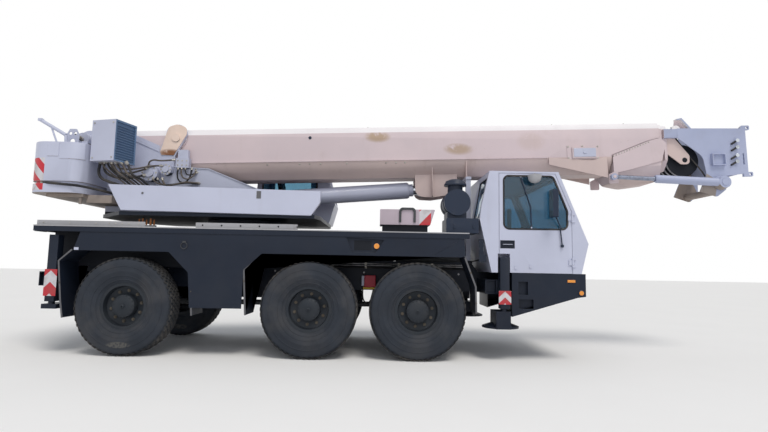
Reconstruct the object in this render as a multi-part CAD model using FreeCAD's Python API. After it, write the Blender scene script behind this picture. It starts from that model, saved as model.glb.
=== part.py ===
import FreeCAD, Part
import math
import os

# Three-axle mobile crane, in millimetres.
# +X is forward (the cab end), +Y the crane's left, +Z up; the wheels stand on z = 0.
# Lengths along X below are measured from the front axle; the origin is at the middle of the
# overall length, on the ground, so every finished piece is moved by origin_shift at the end.

Vector = FreeCAD.Vector

# Fits
pin_fit = 0.05
rest_gap = 0.3

# Driving sizes of the carrier
tyre_radius = 740.0
tyre_width = 430.0
rim_radius = 317.5
rim_flange = 352.0
rim_half_width = 150.0
axle_stub = 55.0
overall_half_width = 1340.0
bogie_spacing = 1650.0
rear_spacing = 2790.0
wheel_side = overall_half_width - tyre_width / 2
kingpin_side = 900.0
deck_top = 1945.0
deck_sheet = 12.0
deck_half_width = 1312.0
deck_rear = -5860.0
deck_front = 780.0
deck_lip = 92.0
skirt_half_width = deck_half_width - 12.0
skirt_sheet = 8.0
arch_top = 1568.0
guard_inner_side = 800.0
guard_sheet = 8.0
frame_half_width = 430.0
frame_bottom = 1010.0
frame_top = 1500.0
frame_wall = 14.0
frame_front = 2250.0
cab_frame_start = 960.0

# Driving sizes of the crane above
slew_x = -2950.0
slew_ring_radius = 720.0
ring_top = deck_top + 40.0
table_bottom = 2130.0
table_plate = 60.0
tail_rear = -6150.0
tail_front = -5270.0
tail_half_width = 1200.0
tail_corner = 300.0
fairing_side = 1180.0
foot_pin_x = -4137.0
foot_pin_z = 3545.0
foot_pin_radius = 70.0
boom_rest_angle = 2.1
boom_half_width = 380.0
boom_top = 165.0
web_top = 65.0
web_bottom = -430.0
shell_bottom = -715.0
shell_half_width = 190.0
shoulder_half_width = 340.0
boom_wall = 12.0
boom_rear = -750.0
boom_front = 8420.0
section_gap = 10.0
pad_length = 170.0
pad_half_width = 240.0
luff_base_x = -3000.0
luff_base_z = 2530.0
luff_eye_x = 160.0
luff_eye_z = 2800.0
barrel_radius = 146.0
rod_radius = 85.0

# Driving sizes of the cab
cab_half_width = 1250.0
cab_wall = 50.0
cab_roof = 2930.0
cab_floor = 1350.0
cab_frame_top = cab_floor - rest_gap
bumper_front = 2575.0

middle_axle_x = -bogie_spacing
rear_axle_x = -bogie_spacing - rear_spacing
boom_angle = math.radians(boom_rest_angle)
head_tip = 9938.0
lug_end = head_tip + 75.0
lug_round = 20.0
lug_half_height = 40.0
lug_bore = 25.25
lug_heights = (48.0, -780.0)
lug_lowest = lug_heights[1] - lug_half_height
front_reach = (foot_pin_x + (lug_end - lug_round) * math.cos(boom_angle)
               - (lug_lowest + lug_round) * math.sin(boom_angle) + lug_round)
origin_shift = Vector(-(front_reach + tail_rear) / 2, 0, 0)

os.makedirs("parts", exist_ok=True)


def block(x0, x1, y0, y1, z0, z1):
    return Part.makeBox(x1 - x0, y1 - y0, z1 - z0, Vector(x0, y0, z0))


def across(x0, x1, y0, y1, z0, z1):
    """A block between two sides given in either order."""
    return block(x0, x1, min(y0, y1), max(y0, y1), z0, z1)


def rod(start, end, radius):
    start = Vector(*start)
    end = Vector(*end)
    return Part.makeCylinder(radius, (end - start).Length, start, end - start)


def outline(points, place):
    """A closed face from corners (a, b) or, where the corner is round, (a, b, radius)."""
    count = len(points)
    edges = []
    ends = []
    for i in range(count):
        corner = points[i]
        here = Vector(corner[0], corner[1], 0)
        radius = corner[2] if len(corner) > 2 else 0
        before = Vector(points[i - 1][0], points[i - 1][1], 0) - here
        after = Vector(points[(i + 1) % count][0], points[(i + 1) % count][1], 0) - here
        before.normalize()
        after.normalize()
        if not radius:
            ends.append((here, here, here))
            continue
        half = before.getAngle(after) / 2
        bisector = before + after
        bisector.normalize()
        centre = here + bisector * (radius / math.sin(half))
        reach = radius / math.tan(half)
        ends.append((here + before * reach, centre - bisector * radius, here + after * reach))
    for i in range(count):
        first, top, last = ends[i]
        following = ends[(i + 1) % count][0]
        if (first - last).Length > 1e-6:
            edges.append(Part.Arc(place(first), place(top), place(last)).toShape())
        if (last - following).Length > 1e-6:
            edges.append(Part.LineSegment(place(last), place(following)).toShape())
    return Part.Face(Part.Wire(edges))


def side_plate(points, y0, y1):
    face = outline(points, lambda p: Vector(p.x, y0, p.y))
    return face.extrude(Vector(0, y1 - y0, 0))


def flat_plate(points, z0, z1):
    face = outline(points, lambda p: Vector(p.x, p.y, z0))
    return face.extrude(Vector(0, 0, z1 - z0))


def cross_plate(points, x0, x1):
    face = outline(points, lambda p: Vector(x0, p.x, p.y))
    return face.extrude(Vector(x1 - x0, 0, 0))


def band(points, thickness, y0, y1):
    """A bent sheet: the outline's points are its outer line, its thickness lies to the right."""
    inner = []
    for i, point in enumerate(points):
        here = Vector(point[0], point[1], 0)
        normals = []
        if i > 0:
            step = here - Vector(points[i - 1][0], points[i - 1][1], 0)
            normals.append(Vector(step.y, -step.x, 0).normalize())
        if i < len(points) - 1:
            step = Vector(points[i + 1][0], points[i + 1][1], 0) - here
            normals.append(Vector(step.y, -step.x, 0).normalize())
        normal = normals[0] + normals[-1]
        normal.normalize()
        shift = normal * (thickness / normal.dot(normals[0]))
        inner.append((here.x + shift.x, here.y + shift.y))
    return side_plate(list(points) + inner[::-1], y0, y1)


def revolve_y(points, centre_x, centre_y, centre_z):
    """A turned piece about a Y axis from (radius, distance along Y) points."""
    wire = Part.makePolygon([Vector(centre_x, centre_y + y, centre_z + r) for r, y in points + points[:1]])
    return Part.Face(wire).revolve(Vector(centre_x, centre_y, centre_z), Vector(0, 1, 0), 360)


def revolve_z(points, centre_x, centre_y):
    """A turned piece about a vertical axis from (radius, height) points."""
    wire = Part.makePolygon([Vector(centre_x + r, centre_y, z) for r, z in points + points[:1]])
    return Part.Face(wire).revolve(Vector(centre_x, centre_y, 0), Vector(0, 0, 1), 360)


def mirrored(shape):
    return shape.mirror(Vector(0, 0, 0), Vector(0, 1, 0))


def both_sides(shape):
    return [shape, mirrored(shape)]


def joined(shapes):
    result = shapes[0]
    if len(shapes) > 1:
        result = shapes[0].fuse(shapes[1:])
    return result.removeSplitter()


def save(name, shapes):
    shapes = shapes if isinstance(shapes, list) else [shapes]
    solids = []
    for shape in shapes:
        for solid in shape.Solids:
            moved = solid.copy()
            moved.translate(origin_shift)
            solids.append(moved)
    whole = solids[0] if len(solids) == 1 else Part.makeCompound(solids)
    whole.exportStep("parts/" + name + ".step")
    print(name, len(solids), "valid" if whole.isValid() else "NOT VALID")


# Outriggers: one row for each corner
# name, side (-1 right, 1 left), beam centre x, pad's lowest z, leg's lowest z, leg's top z, pad's radius
outriggers = [
    ("front_right", -1, 1330.0, 490.0, 800.0, 1585.0, 285.0),
    ("front_left", 1, 1150.0, 490.0, 800.0, 1585.0, 285.0),
    ("rear_right", -1, -5570.0, 680.0, 790.0, 1800.0, 190.0),
    ("rear_left", 1, -5750.0, 680.0, 790.0, 1800.0, 190.0),
]
beam_width = 150.0
beam_bottom = 1030.0
beam_height = 190.0
beam_box_wall = 12.0
leg_side = cab_half_width - 60.0
beam_reach = leg_side - 70.0
leg_width = 140.0
leg_bore = 46.0
foot_rod = leg_bore - pin_fit
pad_side = leg_side - 240.0
beam_gap = 3.0


# Fuel tank beside the frame: low and high corners along X, Y and Z
fuel_tank = (-3350.0, -2720.0, frame_half_width, frame_half_width + 560.0, 1030.0, 1470.0)


# Tow coupling flange on the rear end of the frame
tow_face = -5858.0
tow_height = 1126.0
tow_bolts_across = 160.0
tow_bolts_up = 100.0
tow_hole = 10.5


def outrigger_box(centre_x):
    half = beam_width / 2 + beam_gap
    outer = block(centre_x - half - beam_box_wall, centre_x + half + beam_box_wall,
                  -beam_reach, beam_reach,
                  beam_bottom - rest_gap - beam_box_wall,
                  beam_bottom + beam_height + beam_gap + beam_box_wall)
    inner = block(centre_x - half, centre_x + half, -beam_reach - 10, beam_reach + 10,
                  beam_bottom - rest_gap, beam_bottom + beam_height + beam_gap)
    return outer, inner


def chassis_frame():
    wall = frame_wall
    rail = [(deck_rear + 20, frame_bottom), (frame_front, frame_bottom), (frame_front, cab_frame_top),
            (cab_frame_start + 120, cab_frame_top), (cab_frame_start, frame_top), (deck_rear + 20, frame_top)]
    side = side_plate(rail, -frame_half_width, -frame_half_width + wall)
    floor = block(deck_rear + 20, frame_front, -frame_half_width, frame_half_width,
                  frame_bottom, frame_bottom + wall)
    roof = block(deck_rear + 20, -1700, -frame_half_width, frame_half_width, frame_top - wall, frame_top)
    pieces = both_sides(side) + [floor, roof]
    for x in (-1700.0, -600.0, 950.0, frame_front - wall):
        pieces.append(block(x, x + wall, -frame_half_width, frame_half_width,
                            frame_bottom, cab_frame_top - 40))
    ring = Part.makeCylinder(slew_ring_radius, ring_top - frame_top, Vector(slew_x, 0, frame_top))
    hollow = Part.makeCylinder(slew_ring_radius - 60, deck_top + 60 - frame_top, Vector(slew_x, 0, frame_top))
    pieces.append(ring.cut(hollow))
    for x in (deck_rear + 40, -4300.0, -1900.0, -700.0):
        for y in (-frame_half_width, frame_half_width - wall):
            pieces.append(block(x, x + wall * 2, y, y + wall, frame_top - 10, deck_top - deck_sheet))
    pieces.append(block(*fuel_tank))
    pieces += boom_rest()
    tow_plate = block(tow_face, deck_rear + 20, -140, 140, tow_height - 90, tow_height + 90)
    pieces.append(tow_plate)
    cuts = []
    for row in outriggers:
        centre_x = row[2]
        outer, inner = outrigger_box(centre_x)
        pieces.append(outer)
        cuts.append(inner)
    for y in (-tow_bolts_across / 2, tow_bolts_across / 2):
        for z in (-tow_bolts_up / 2, tow_bolts_up / 2):
            cuts.append(rod((tow_face - 5, y, tow_height + z), (deck_rear + 34, y, tow_height + z), tow_hole))
    return joined(pieces).cut(cuts)


def deck_rails():
    edge = deck_half_width - 57.0
    plain = block(deck_rear + 10, -4200, -edge, -edge + 6, deck_top - 1, deck_top + 78)
    holed = block(-3425, -1865, -edge, -edge + 30, deck_top - 1, deck_top + 82)
    holes = []
    for i in range(6):
        x = -3320 + i * 290
        holes.append(rod((x, -edge - 5, deck_top + 42), (x, -edge + 40, deck_top + 42), 14))
    return both_sides(plain) + both_sides(holed.cut(holes))


tread_plate = 4.0


def deck():
    sheet = block(deck_rear, deck_front, -deck_half_width, deck_half_width, deck_top - deck_sheet, deck_top)
    lip = block(deck_rear, deck_front, -deck_half_width, -deck_half_width + 6, deck_top - deck_lip, deck_top)
    rear_lip = block(deck_rear, deck_rear + 6, -deck_half_width, deck_half_width,
                     deck_top - deck_lip, deck_top)
    tread = block(-1440, -680, -620, 620, deck_top - 1, deck_top + tread_plate)
    whole = joined([sheet, rear_lip, tread] + both_sides(lip) + deck_rails())
    return whole.cut(Part.makeCylinder(slew_ring_radius + 5, 200, Vector(slew_x, 0, deck_top - 100)))


panel_top = deck_top - deck_sheet - rest_gap
panel_recess = [(-1109.0, 1846.0), (-1012.0, 1620.0), (-654.0, 1612.0), (-522.0, 1811.0)]
recess_depth = 45.0


def side_panels():
    rear_arch = -5236.0
    shape = [
        (-5126.0, panel_top), (rear_arch, arch_top + 26), (rear_arch, arch_top), (-3800.0, arch_top),
        (-3490.0, 1262.0), (-3444.0, 735.0), (-2660.0, 735.0), (-2655.0, 1318.0), (-2385.0, arch_top),
        (660.0, arch_top), (722.0, arch_top + 20), (700.0, panel_top),
    ]
    panel = side_plate(shape, -skirt_half_width, -skirt_half_width + skirt_sheet)
    outer = side_plate(inset(panel_recess, -skirt_sheet), -skirt_half_width, -skirt_half_width + recess_depth)
    pocket = side_plate(panel_recess, -skirt_half_width - 5, -skirt_half_width + recess_depth - skirt_sheet)
    return both_sides(joined([panel, outer]).cut(pocket))


def mudguards():
    outer = -skirt_half_width + skirt_sheet + rest_gap
    rear = band([(-5334.0, 556.0), (-5379.0, 819.0), (-5450.0, 1406.0), (-5236.0, 1602.0), (-3780.0, 1602.0),
                 (-3456.0, 1271.0), (-3405.0, 620.0)], guard_sheet, outer, -guard_inner_side)
    front = band([(-2600.0, 640.0), (-2648.0, 1325.0), (-2395.0, 1602.0), (700.0, 1602.0),
                  (878.0, 1127.0), (887.0, 725.0)], guard_sheet, outer, -guard_inner_side)
    return both_sides(rear) + both_sides(front)


def axle_beams():
    centre = tyre_radius
    pieces = []
    for x, steered in ((0.0, True), (middle_axle_x, True), (rear_axle_x, False)):
        casing = Part.makeSphere(200, Vector(x, 0, centre))
        parts = [casing]
        for y in (-365.0, 365.0):
            parts.append(rod((x, y, centre), (x, y, frame_bottom), 62))
        if steered:
            parts.append(rod((x, -760, centre), (x, 760, centre), 85))
            for y in (-1, 1):
                parts.append(across(x - 70, x + 70, y * 720, y * 800, 550, 930))
                for z in (550.0, 890.0):
                    parts.append(across(x - 70, x + 70, y * 760, y * 970, z, z + 40))
                parts.append(rod((x, y * kingpin_side, 560), (x, y * kingpin_side, 920), 25))
        else:
            parts.append(rod((x, -960, centre), (x, 960, centre), 85))
            parts.append(rod((x, -1150, centre), (x, 1150, centre), axle_stub))
        pieces.append(joined(parts))
    return pieces


def knuckle(x):
    centre = tyre_radius
    barrel = rod((x, -kingpin_side, 590 + rest_gap), (x, -kingpin_side, 890 - rest_gap), 60)
    spindle = rod((x, -kingpin_side, centre), (x, -1150, centre), axle_stub)
    flange = rod((x, -kingpin_side - 30, centre), (x, -990, centre), 95)
    arm = block(x - 260, x, -kingpin_side - 20, -kingpin_side + 30, 620, 660)
    bore = rod((x, -kingpin_side, 500), (x, -kingpin_side, 1000), 25 + pin_fit)
    return joined([barrel, spindle, flange, arm]).cut(bore)


def tyre(x):
    half = tyre_width / 2
    bead = 129.5
    lip = rim_half_width - rest_gap
    section = [
        (rim_radius + rest_gap, -bead), (rim_flange + 0.5, -lip), (520, -half), (690, -half + 22),
        (tyre_radius, -half + 82), (tyre_radius, half - 82), (690, half - 22), (520, half),
        (rim_flange + 0.5, lip), (rim_radius + rest_gap, bead),
    ]
    return revolve_y(section, x, -wheel_side, tyre_radius)


def rim(x):
    lip = rim_half_width
    bore = axle_stub + pin_fit
    section = [
        (0, -60), (bore, -60), (bore, 100), (150, 100), (190, 0), (292, -30), (292, lip - 5),
        (rim_flange, lip), (rim_radius, 130), (rim_radius, -130), (rim_flange, -lip), (305, -lip),
        (290, -55), (178, -35), (168, -lip), (120, -lip - 25), (0, -lip - 28),
    ]
    return revolve_y(section, x, -wheel_side, tyre_radius)


# Carrier cab: the side outline, from the roof's rear corner clockwise as seen from the right
screen_top = (2180.0, cab_roof)
screen_foot = (2630.0, 1812.0)
cab_side = [
    (1100.0, cab_roof), screen_top, screen_foot, (2514.0, cab_floor), (1130.0, cab_floor),
    (1070.0, 1630.0), (950.0, 2158.0), (973.0, 2372.0),
]
door_foot = cab_floor + 2
door_side = [(1250.0, 2893.0), (2125.0, 2893.0), (2372.0, 2310.0), (2372.0, door_foot), (1412.0, door_foot),
             (1412.0, 1640.0), (1250.0, 1640.0)]
door_window = [(1327.0, 2850.0, 70), (2090.0, 2850.0, 70), (2303.0, 2308.0, 90), (2303.0, 2036.0, 80),
               (1327.0, 2030.0, 80)]
door_gap = 6.0
bowl_x = 1768.0
bowl_side = -cab_half_width - 120.0
door_bosses = ((1501.0, 1429.0), (1731.0, 1450.0))
glass_thickness = 8.0


def inset(points, distance):
    """The same outline moved inwards, by moving each side."""
    count = len(points)
    result = []
    area = sum(points[i - 1][0] * points[i][1] - points[i][0] * points[i - 1][1] for i in range(count))
    sign = 1 if area > 0 else -1
    for i in range(count):
        here = Vector(points[i][0], points[i][1], 0)
        before = here - Vector(points[i - 1][0], points[i - 1][1], 0)
        after = Vector(points[(i + 1) % count][0], points[(i + 1) % count][1], 0) - here
        one = Vector(-before.y, before.x, 0).normalize() * sign
        two = Vector(-after.y, after.x, 0).normalize() * sign
        middle = (one + two).normalize()
        move = middle * (distance / middle.dot(one))
        result.append((here.x + move.x, here.y + move.y) + tuple(points[i][2:]))
    return result


# The spaces in the cab for the jack legs: low and high x on each side, inner y and top
jack_space_right = (1225.0, 1412.0)
jack_space_left = (1045.0, 1245.0)
jack_space_inner = cab_half_width - 170.0
jack_space_top = 1640.0
windscreen_half_width = cab_half_width - 100.0
rear_window = (cab_half_width - 70.0, 560.0)


def along(start, end, share):
    return (start[0] + (end[0] - start[0]) * share, start[1] + (end[1] - start[1]) * share)


# Door hinges: axis x and y, and the heights of their lower ends
cab_hinge_x = 2375.0
cab_hinge_y = cab_half_width + 16.0
cab_hinge_heights = (1480.0, 2170.0)
operator_side = 1250.0
operator_hinge_x = -2846.0
operator_hinge_y = operator_side + 16.0
operator_hinge_heights = (2420.0, 3300.0)
hinge_length = 80.0
hinge_pin = 8.0
hinge_barrel = 15.0


def hinge_fixed(x, y, heights, root_x, root_y):
    """Pin and outer knuckles, with a leaf from the axis back to the corner (root_x, root_y)."""
    pieces = []
    for z in heights:
        pieces.append(rod((x, y, z - 30), (x, y, z + hinge_length + 30), hinge_pin))
        for low in (z - 30, z + hinge_length + 0.5):
            pieces.append(rod((x, y, low), (x, y, low + 29.5), hinge_barrel))
            pieces.append(across(min(x, root_x), max(x, root_x), y, root_y, low, low + 29.5))
    return pieces


def hinge_moving(x, y, heights, root_x, root_y):
    pieces = []
    for z in heights:
        pieces.append(rod((x, y, z), (x, y, z + hinge_length), hinge_barrel))
        pieces.append(across(min(x, root_x), max(x, root_x), y, root_y, z, z + hinge_length))
    bores = [rod((x, y, z - 40), (x, y, z + hinge_length + 40), hinge_pin + pin_fit) for z in heights]
    return pieces, bores


def jack_space(side, reach):
    """The box walls round a jack leg, and the space inside them that is cut away."""
    near = side * (cab_half_width - 1)
    far = side * (jack_space_inner - cab_wall)
    walls = block(reach[0] - cab_wall, reach[1] + cab_wall / 2, min(near, far), max(near, far),
                  cab_floor, jack_space_top + cab_wall)
    near = side * (cab_half_width + 10)
    far = side * jack_space_inner
    space = block(reach[0], reach[1], min(near, far), max(near, far), cab_floor - 10, jack_space_top)
    return walls, space


def cab_shell():
    outer = side_plate(cab_side, -cab_half_width, cab_half_width)
    inner = side_plate(inset(cab_side, cab_wall), -cab_half_width + cab_wall, cab_half_width - cab_wall)
    shell = outer.cut(inner)
    doorway = side_plate(inset(door_side, -door_gap), -cab_half_width - 10, -cab_half_width + cab_wall + 10)
    right_walls, right_space = jack_space(-1, jack_space_right)
    left_walls, left_space = jack_space(1, jack_space_left)
    top = along(screen_top, screen_foot, 0.07)
    bottom = along(screen_top, screen_foot, 0.90)
    screen = side_plate([(top[0] - 90, top[1]), (top[0] + 60, top[1]), (bottom[0] + 60, bottom[1]),
                         (bottom[0] - 90, bottom[1])], -windscreen_half_width, windscreen_half_width)
    cuts = [doorway, mirrored(doorway), right_space, left_space, screen]
    for side in (-1, 1):
        y0 = side * rear_window[0]
        y1 = side * rear_window[1]
        cuts.append(block(940.0, 1150.0, min(y0, y1), max(y0, y1), 2200.0, 2830.0))
    shell = shell.fuse([right_walls.common(outer), left_walls.common(outer)]).cut(cuts)
    hinges = hinge_fixed(cab_hinge_x, -cab_hinge_y, cab_hinge_heights, cab_hinge_x + 50, -cab_half_width + 5)
    return joined([shell] + hinges + [mirrored(piece) for piece in hinges])


def cab_glass():
    top = along(screen_top, screen_foot, 0.07)
    bottom = along(screen_top, screen_foot, 0.90)
    inward = Vector(screen_foot[1] - screen_top[1], screen_top[0] - screen_foot[0], 0).normalize()
    shift = (inward.x * 10, inward.y * 10)
    thick = (inward.x * glass_thickness, inward.y * glass_thickness)
    one = (top[0] + shift[0], top[1] + shift[1] - 1)
    two = (bottom[0] + shift[0] - 4, bottom[1] + shift[1] + 10)
    screen = [one, two, (two[0] + thick[0], two[1] + thick[1]), (one[0] + thick[0], one[1] + thick[1])]
    reach = windscreen_half_width - rest_gap
    panes = [side_plate(screen, -reach, reach)]
    low = (985.0, 2200.0 + rest_gap)
    high = (1098.0, 2830.0 - rest_gap)
    for side in (-1, 1):
        y0 = side * (rear_window[0] - rest_gap)
        y1 = side * (rear_window[1] + rest_gap)
        panes.append(side_plate([low, high, (high[0] + glass_thickness, high[1]),
                                 (low[0] + glass_thickness, low[1])], min(y0, y1), max(y0, y1)))
    return panes


def door():
    skin = -cab_half_width
    panel = side_plate(door_side, skin, skin + cab_wall - 2)
    window = side_plate(door_window, skin - 10, skin + cab_wall + 10)
    handle = block(1262, 1487, skin - 5, skin + 18, 1721, 1846)
    divider = side_plate([(1570, 2860), (1592, 2860), (1748, 2363), (1760, 2025), (1740, 2025), (1728, 2363)],
                         skin, skin + 10)
    pull = rod((1300, skin - 4, 1784), (1450, skin - 4, 1784), 9)
    pull_feet = [block(x, x + 14, skin - 10, skin + 20, 1776, 1792) for x in (1300, 1436)]
    bosses = [rod((x, skin - 14, z), (x, skin + 5, z), 24) for x, z in door_bosses]
    leaves, bores = hinge_moving(cab_hinge_x, -cab_hinge_y, cab_hinge_heights, cab_hinge_x - 60, skin + 5)
    return joined([panel.cut([window, handle]), divider, pull] + pull_feet + bosses + leaves).cut(bores)


def door_glass():
    low = -cab_half_width + 12
    return side_plate(inset(door_window, rest_gap), low, low + glass_thickness)


def mirror():
    side = -cab_half_width - 25
    arm = joined([
        rod((2215, side, 1750), (2181, side, 2080), 9),
        rod((2181, side, 2080), (2075, side - 85, 2260), 9),
        block(2195, 2235, side - 9, -cab_half_width - rest_gap, 1752, 1792),
    ])
    far = side - 180
    housing = flat_plate([(2018, far), (2112, far, 30), (2112, side, 30), (2018, side)], 2210, 2630)
    bowl = revolve_z([(0, 2726), (52, 2736), (88, 2768), (105, 2830), (105, 2850), (0, 2850)],
                     bowl_x, bowl_side)
    bowl_arm = joined([
        rod((bowl_x, bowl_side, 2840), (bowl_x, bowl_side, 2882), 10),
        rod((bowl_x, bowl_side, 2872), (bowl_x, -cab_half_width - rest_gap, 2872), 10),
    ])
    return [joined([arm, housing]), joined([bowl, bowl_arm])]


bumper_rear = 1441.0
bumper_wall = 12.0
# Step recesses in the skirt: low and high x, low and high z
cab_steps = ((1541.0, 1684.0, 1018.0, 1218.0), (1546.0, 1768.0, 809.0, 948.0))
step_depth = 60.0


def bumper():
    half = cab_half_width
    top = cab_floor - rest_gap
    profile = [(bumper_front, top), (bumper_front, 1004.0), (2449.0, 987.0), (2172.0, 906.0),
               (bumper_rear, 683.0), (bumper_rear, top)]
    inner = [(x, z + (cab_wall if z > top - 100 else 0)) for x, z in inset(profile, bumper_wall)]
    shell = side_plate(profile, -half, half)
    hollow = side_plate(inner, -half + bumper_wall, half - bumper_wall)
    steps = []
    recesses = []
    for x0, x1, z0, z1 in cab_steps:
        steps.append(block(x0 - 8, x1 + 8, -half + 1, -half + step_depth + 8, z0 - 8, z1 + 8))
        recesses.append(block(x0, x1, -half - 5, -half + step_depth, z0, z1))
    under = block(1400, 2420, -frame_half_width - 60, frame_half_width + 60, 600, cab_floor)
    body = shell.cut([hollow, under])
    body = body.fuse(steps + [mirrored(step) for step in steps])
    body = body.cut(recesses + [mirrored(recess) for recess in recesses])
    rail = block(bumper_rear, 2300, -frame_half_width - 80, -frame_half_width - rest_gap, 1300, top)
    return joined([body] + both_sides(rail))


seat_side = cab_half_width - 530.0


def seats():
    result = []
    floor = cab_floor + cab_wall
    for y in (-seat_side, seat_side):
        cushion = block(1330, 1830, y - 240, y + 240, floor + 300, floor + 420)
        base = block(1400, 1750, y - 180, y + 180, floor + rest_gap, floor + 300)
        back_side = [(1330, floor + 380), (1440, floor + 380), (1330, floor + 1000), (1230, floor + 1000)]
        back = side_plate(back_side, y - 240, y + 240)
        result.append(joined([cushion, base, back]))
    return result


def dashboard():
    reach = cab_half_width - cab_wall - 60
    floor = cab_floor + cab_wall
    body = side_plate([(2160, 1900), (2400, 1900), (2520, 1780), (2440, 1500), (2250, 1500)], -reach, reach)
    column = rod((2230, seat_side, 1850), (2040, seat_side, 2040), 30)
    ring = Part.makeTorus(215, 14, Vector(2020, seat_side, 2060), Vector(-190, 0, 190))
    hub = rod((2050, seat_side, 2030), (2010, seat_side, 2070), 60)
    spoke = block(-215, 215, -12, 12, -8, 8)
    spoke.rotate(Vector(0, 0, 0), Vector(0, 1, 0), -45)
    spoke.translate(Vector(2020, seat_side, 2060))
    leg = block(2300, 2400, -100, 100, floor + rest_gap, floor + 120)
    return joined([body, column, ring, hub, spoke, leg])


def lamps():
    pieces = []
    side_lamps = (
        (2499.0, 1060.0, cab_half_width, 34.0, 25.0),
        (-640.0, 1716.0, skirt_half_width - recess_depth + 8, 42.0, 30.0),
    )
    for side in (-1, 1):
        for x, z, skin, radius, depth in side_lamps:
            pieces.append(rod((x, side * (skin + rest_gap), z), (x, side * (skin + depth), z), radius))
        y0 = side * (cab_half_width + rest_gap)
        y1 = side * (cab_half_width + 14)
        pieces.append(across(2290, 2410, y0, y1, 1217, 1257))
        y2 = side * (cab_half_width - 350)
        y3 = side * (cab_half_width - 110)
        pieces.append(across(bumper_front + rest_gap, bumper_front + 30, y2, y3, 1060, 1230))
        y4 = side * (deck_half_width - 312)
        y5 = side * (deck_half_width - 72)
        pieces.append(across(deck_rear - 30, deck_rear - rest_gap, y4, y5, deck_top - 80, deck_top - 8))
    return pieces


def air_filter():
    x = 603.0
    y0 = -deck_half_width + 72
    y1 = y0 + 520
    middle = (y0 + y1) / 2
    drum = rod((x, y0, 2424), (x, y1, 2424), 205)
    bands = [rod((x, y, 2424), (x, y + 24, 2424), 212) for y in (y0 + 110, y1 - 134)]
    cap_section = [(0, 2590), (120, 2590), (120, 2716), (178, 2716), (178, 2738), (150, 2790), (80, 2822),
                   (0, 2830)]
    cap = revolve_z(cap_section, x, middle)
    foot = deck_top + rest_gap
    base = side_plate([(430, foot), (936, foot), (936, 2178, 20), (430, 2178, 20)], y0, y1)
    saddle = block(x - 150, x + 150, y0 + 60, y1 - 60, 2170, 2290)
    latches = []
    for latch_x, latch_z in ((557, 2046), (856, 2052)):
        latches.append(block(latch_x - 14, latch_x + 14, y0 - 14, y0 + 2, latch_z - 34, latch_z + 34))
    return joined([drum, cap, base, saddle] + bands + latches)


def deck_box():
    near = -1180
    far = -760
    lid = side_plate([(-598, 2060), (-598, 2300, 12), (262, 2306, 12), (188, 2064)], near, far)
    foot = block(-560, 150, near + 30, far - 30, deck_top + rest_gap, 2062)
    bow = [(-300, 2100), (-300, 2330, 60), (-40, 2330, 60), (-40, 2100), (-75, 2100), (-75, 2295, 40),
           (-265, 2295, 40), (-265, 2100)]
    shackle = side_plate(bow, near - 22, near + 2)
    return joined([lid, foot, shackle])


def boom_rest():
    top = 2955
    posts = both_sides(block(855, 935, -545, -470, frame_top, top - 40))
    pad = block(850, 940, -560, 560, top - 45, top)
    foot = block(830, cab_frame_start, -560, 560, frame_top - 20, frame_top + 30)
    return posts + [pad, foot]


def engine_block():
    return block(-300, 820, -330, 330, frame_bottom + frame_wall + rest_gap, 1880)


# Superstructure
boom_pin = Vector(foot_pin_x, 0, foot_pin_z)


def in_boom(shape):
    """Moves a piece drawn with the foot pin at the origin and the boom along +X to its place."""
    placed = shape.copy()
    placed.rotate(Vector(0, 0, 0), Vector(0, 1, 0), -boom_rest_angle)
    placed.translate(boom_pin)
    return placed


# Cheeks beside the boom's foot: inner side, plate, outline, its turned edges and the plate round the pin
cheek_side = boom_half_width + 25.0
cheek_plate = 50.0
cheek_foot = table_bottom + 10
brace_top = [(-5080.0, 3630.0), (-4407.0, 3345.0)]
cheek_front = [(-4140.0, 3235.0), (-4140.0, 3050.0), (-3545.0, 3020.0), (-2700.0, 2690.0), (-1900.0, 2400.0)]
cheek_outline = ([(tail_front + rest_gap, cheek_foot), (tail_front + rest_gap, 3440.0)] + brace_top
                 + [(-4330.0, 3540.0), (-4290.0, 3740.0, 110), (-4060.0, 3800.0, 120), (-3945.0, 3630.0, 90)]
                 + cheek_front + [(-1900.0, cheek_foot)])
cheek_flanges = (brace_top, cheek_front)
pin_doubler = [(-4268.0, 3738.0, 90), (-4128.0, 3785.0, 110), (-3962.0, 3735.0, 90), (-3960.0, 3610.0, 60),
               (-4165.0, 3240.0), (-4372.0, 3240.0), (-4398.0, 3295.0), (-4300.0, 3640.0)]
# Slew drives on the right cheek: x, z, radius, reach
slew_drives = ((-4497.0, 2906.0, 140.0, 150.0), (-4239.0, 2972.0, 95.0, 110.0))


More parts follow.
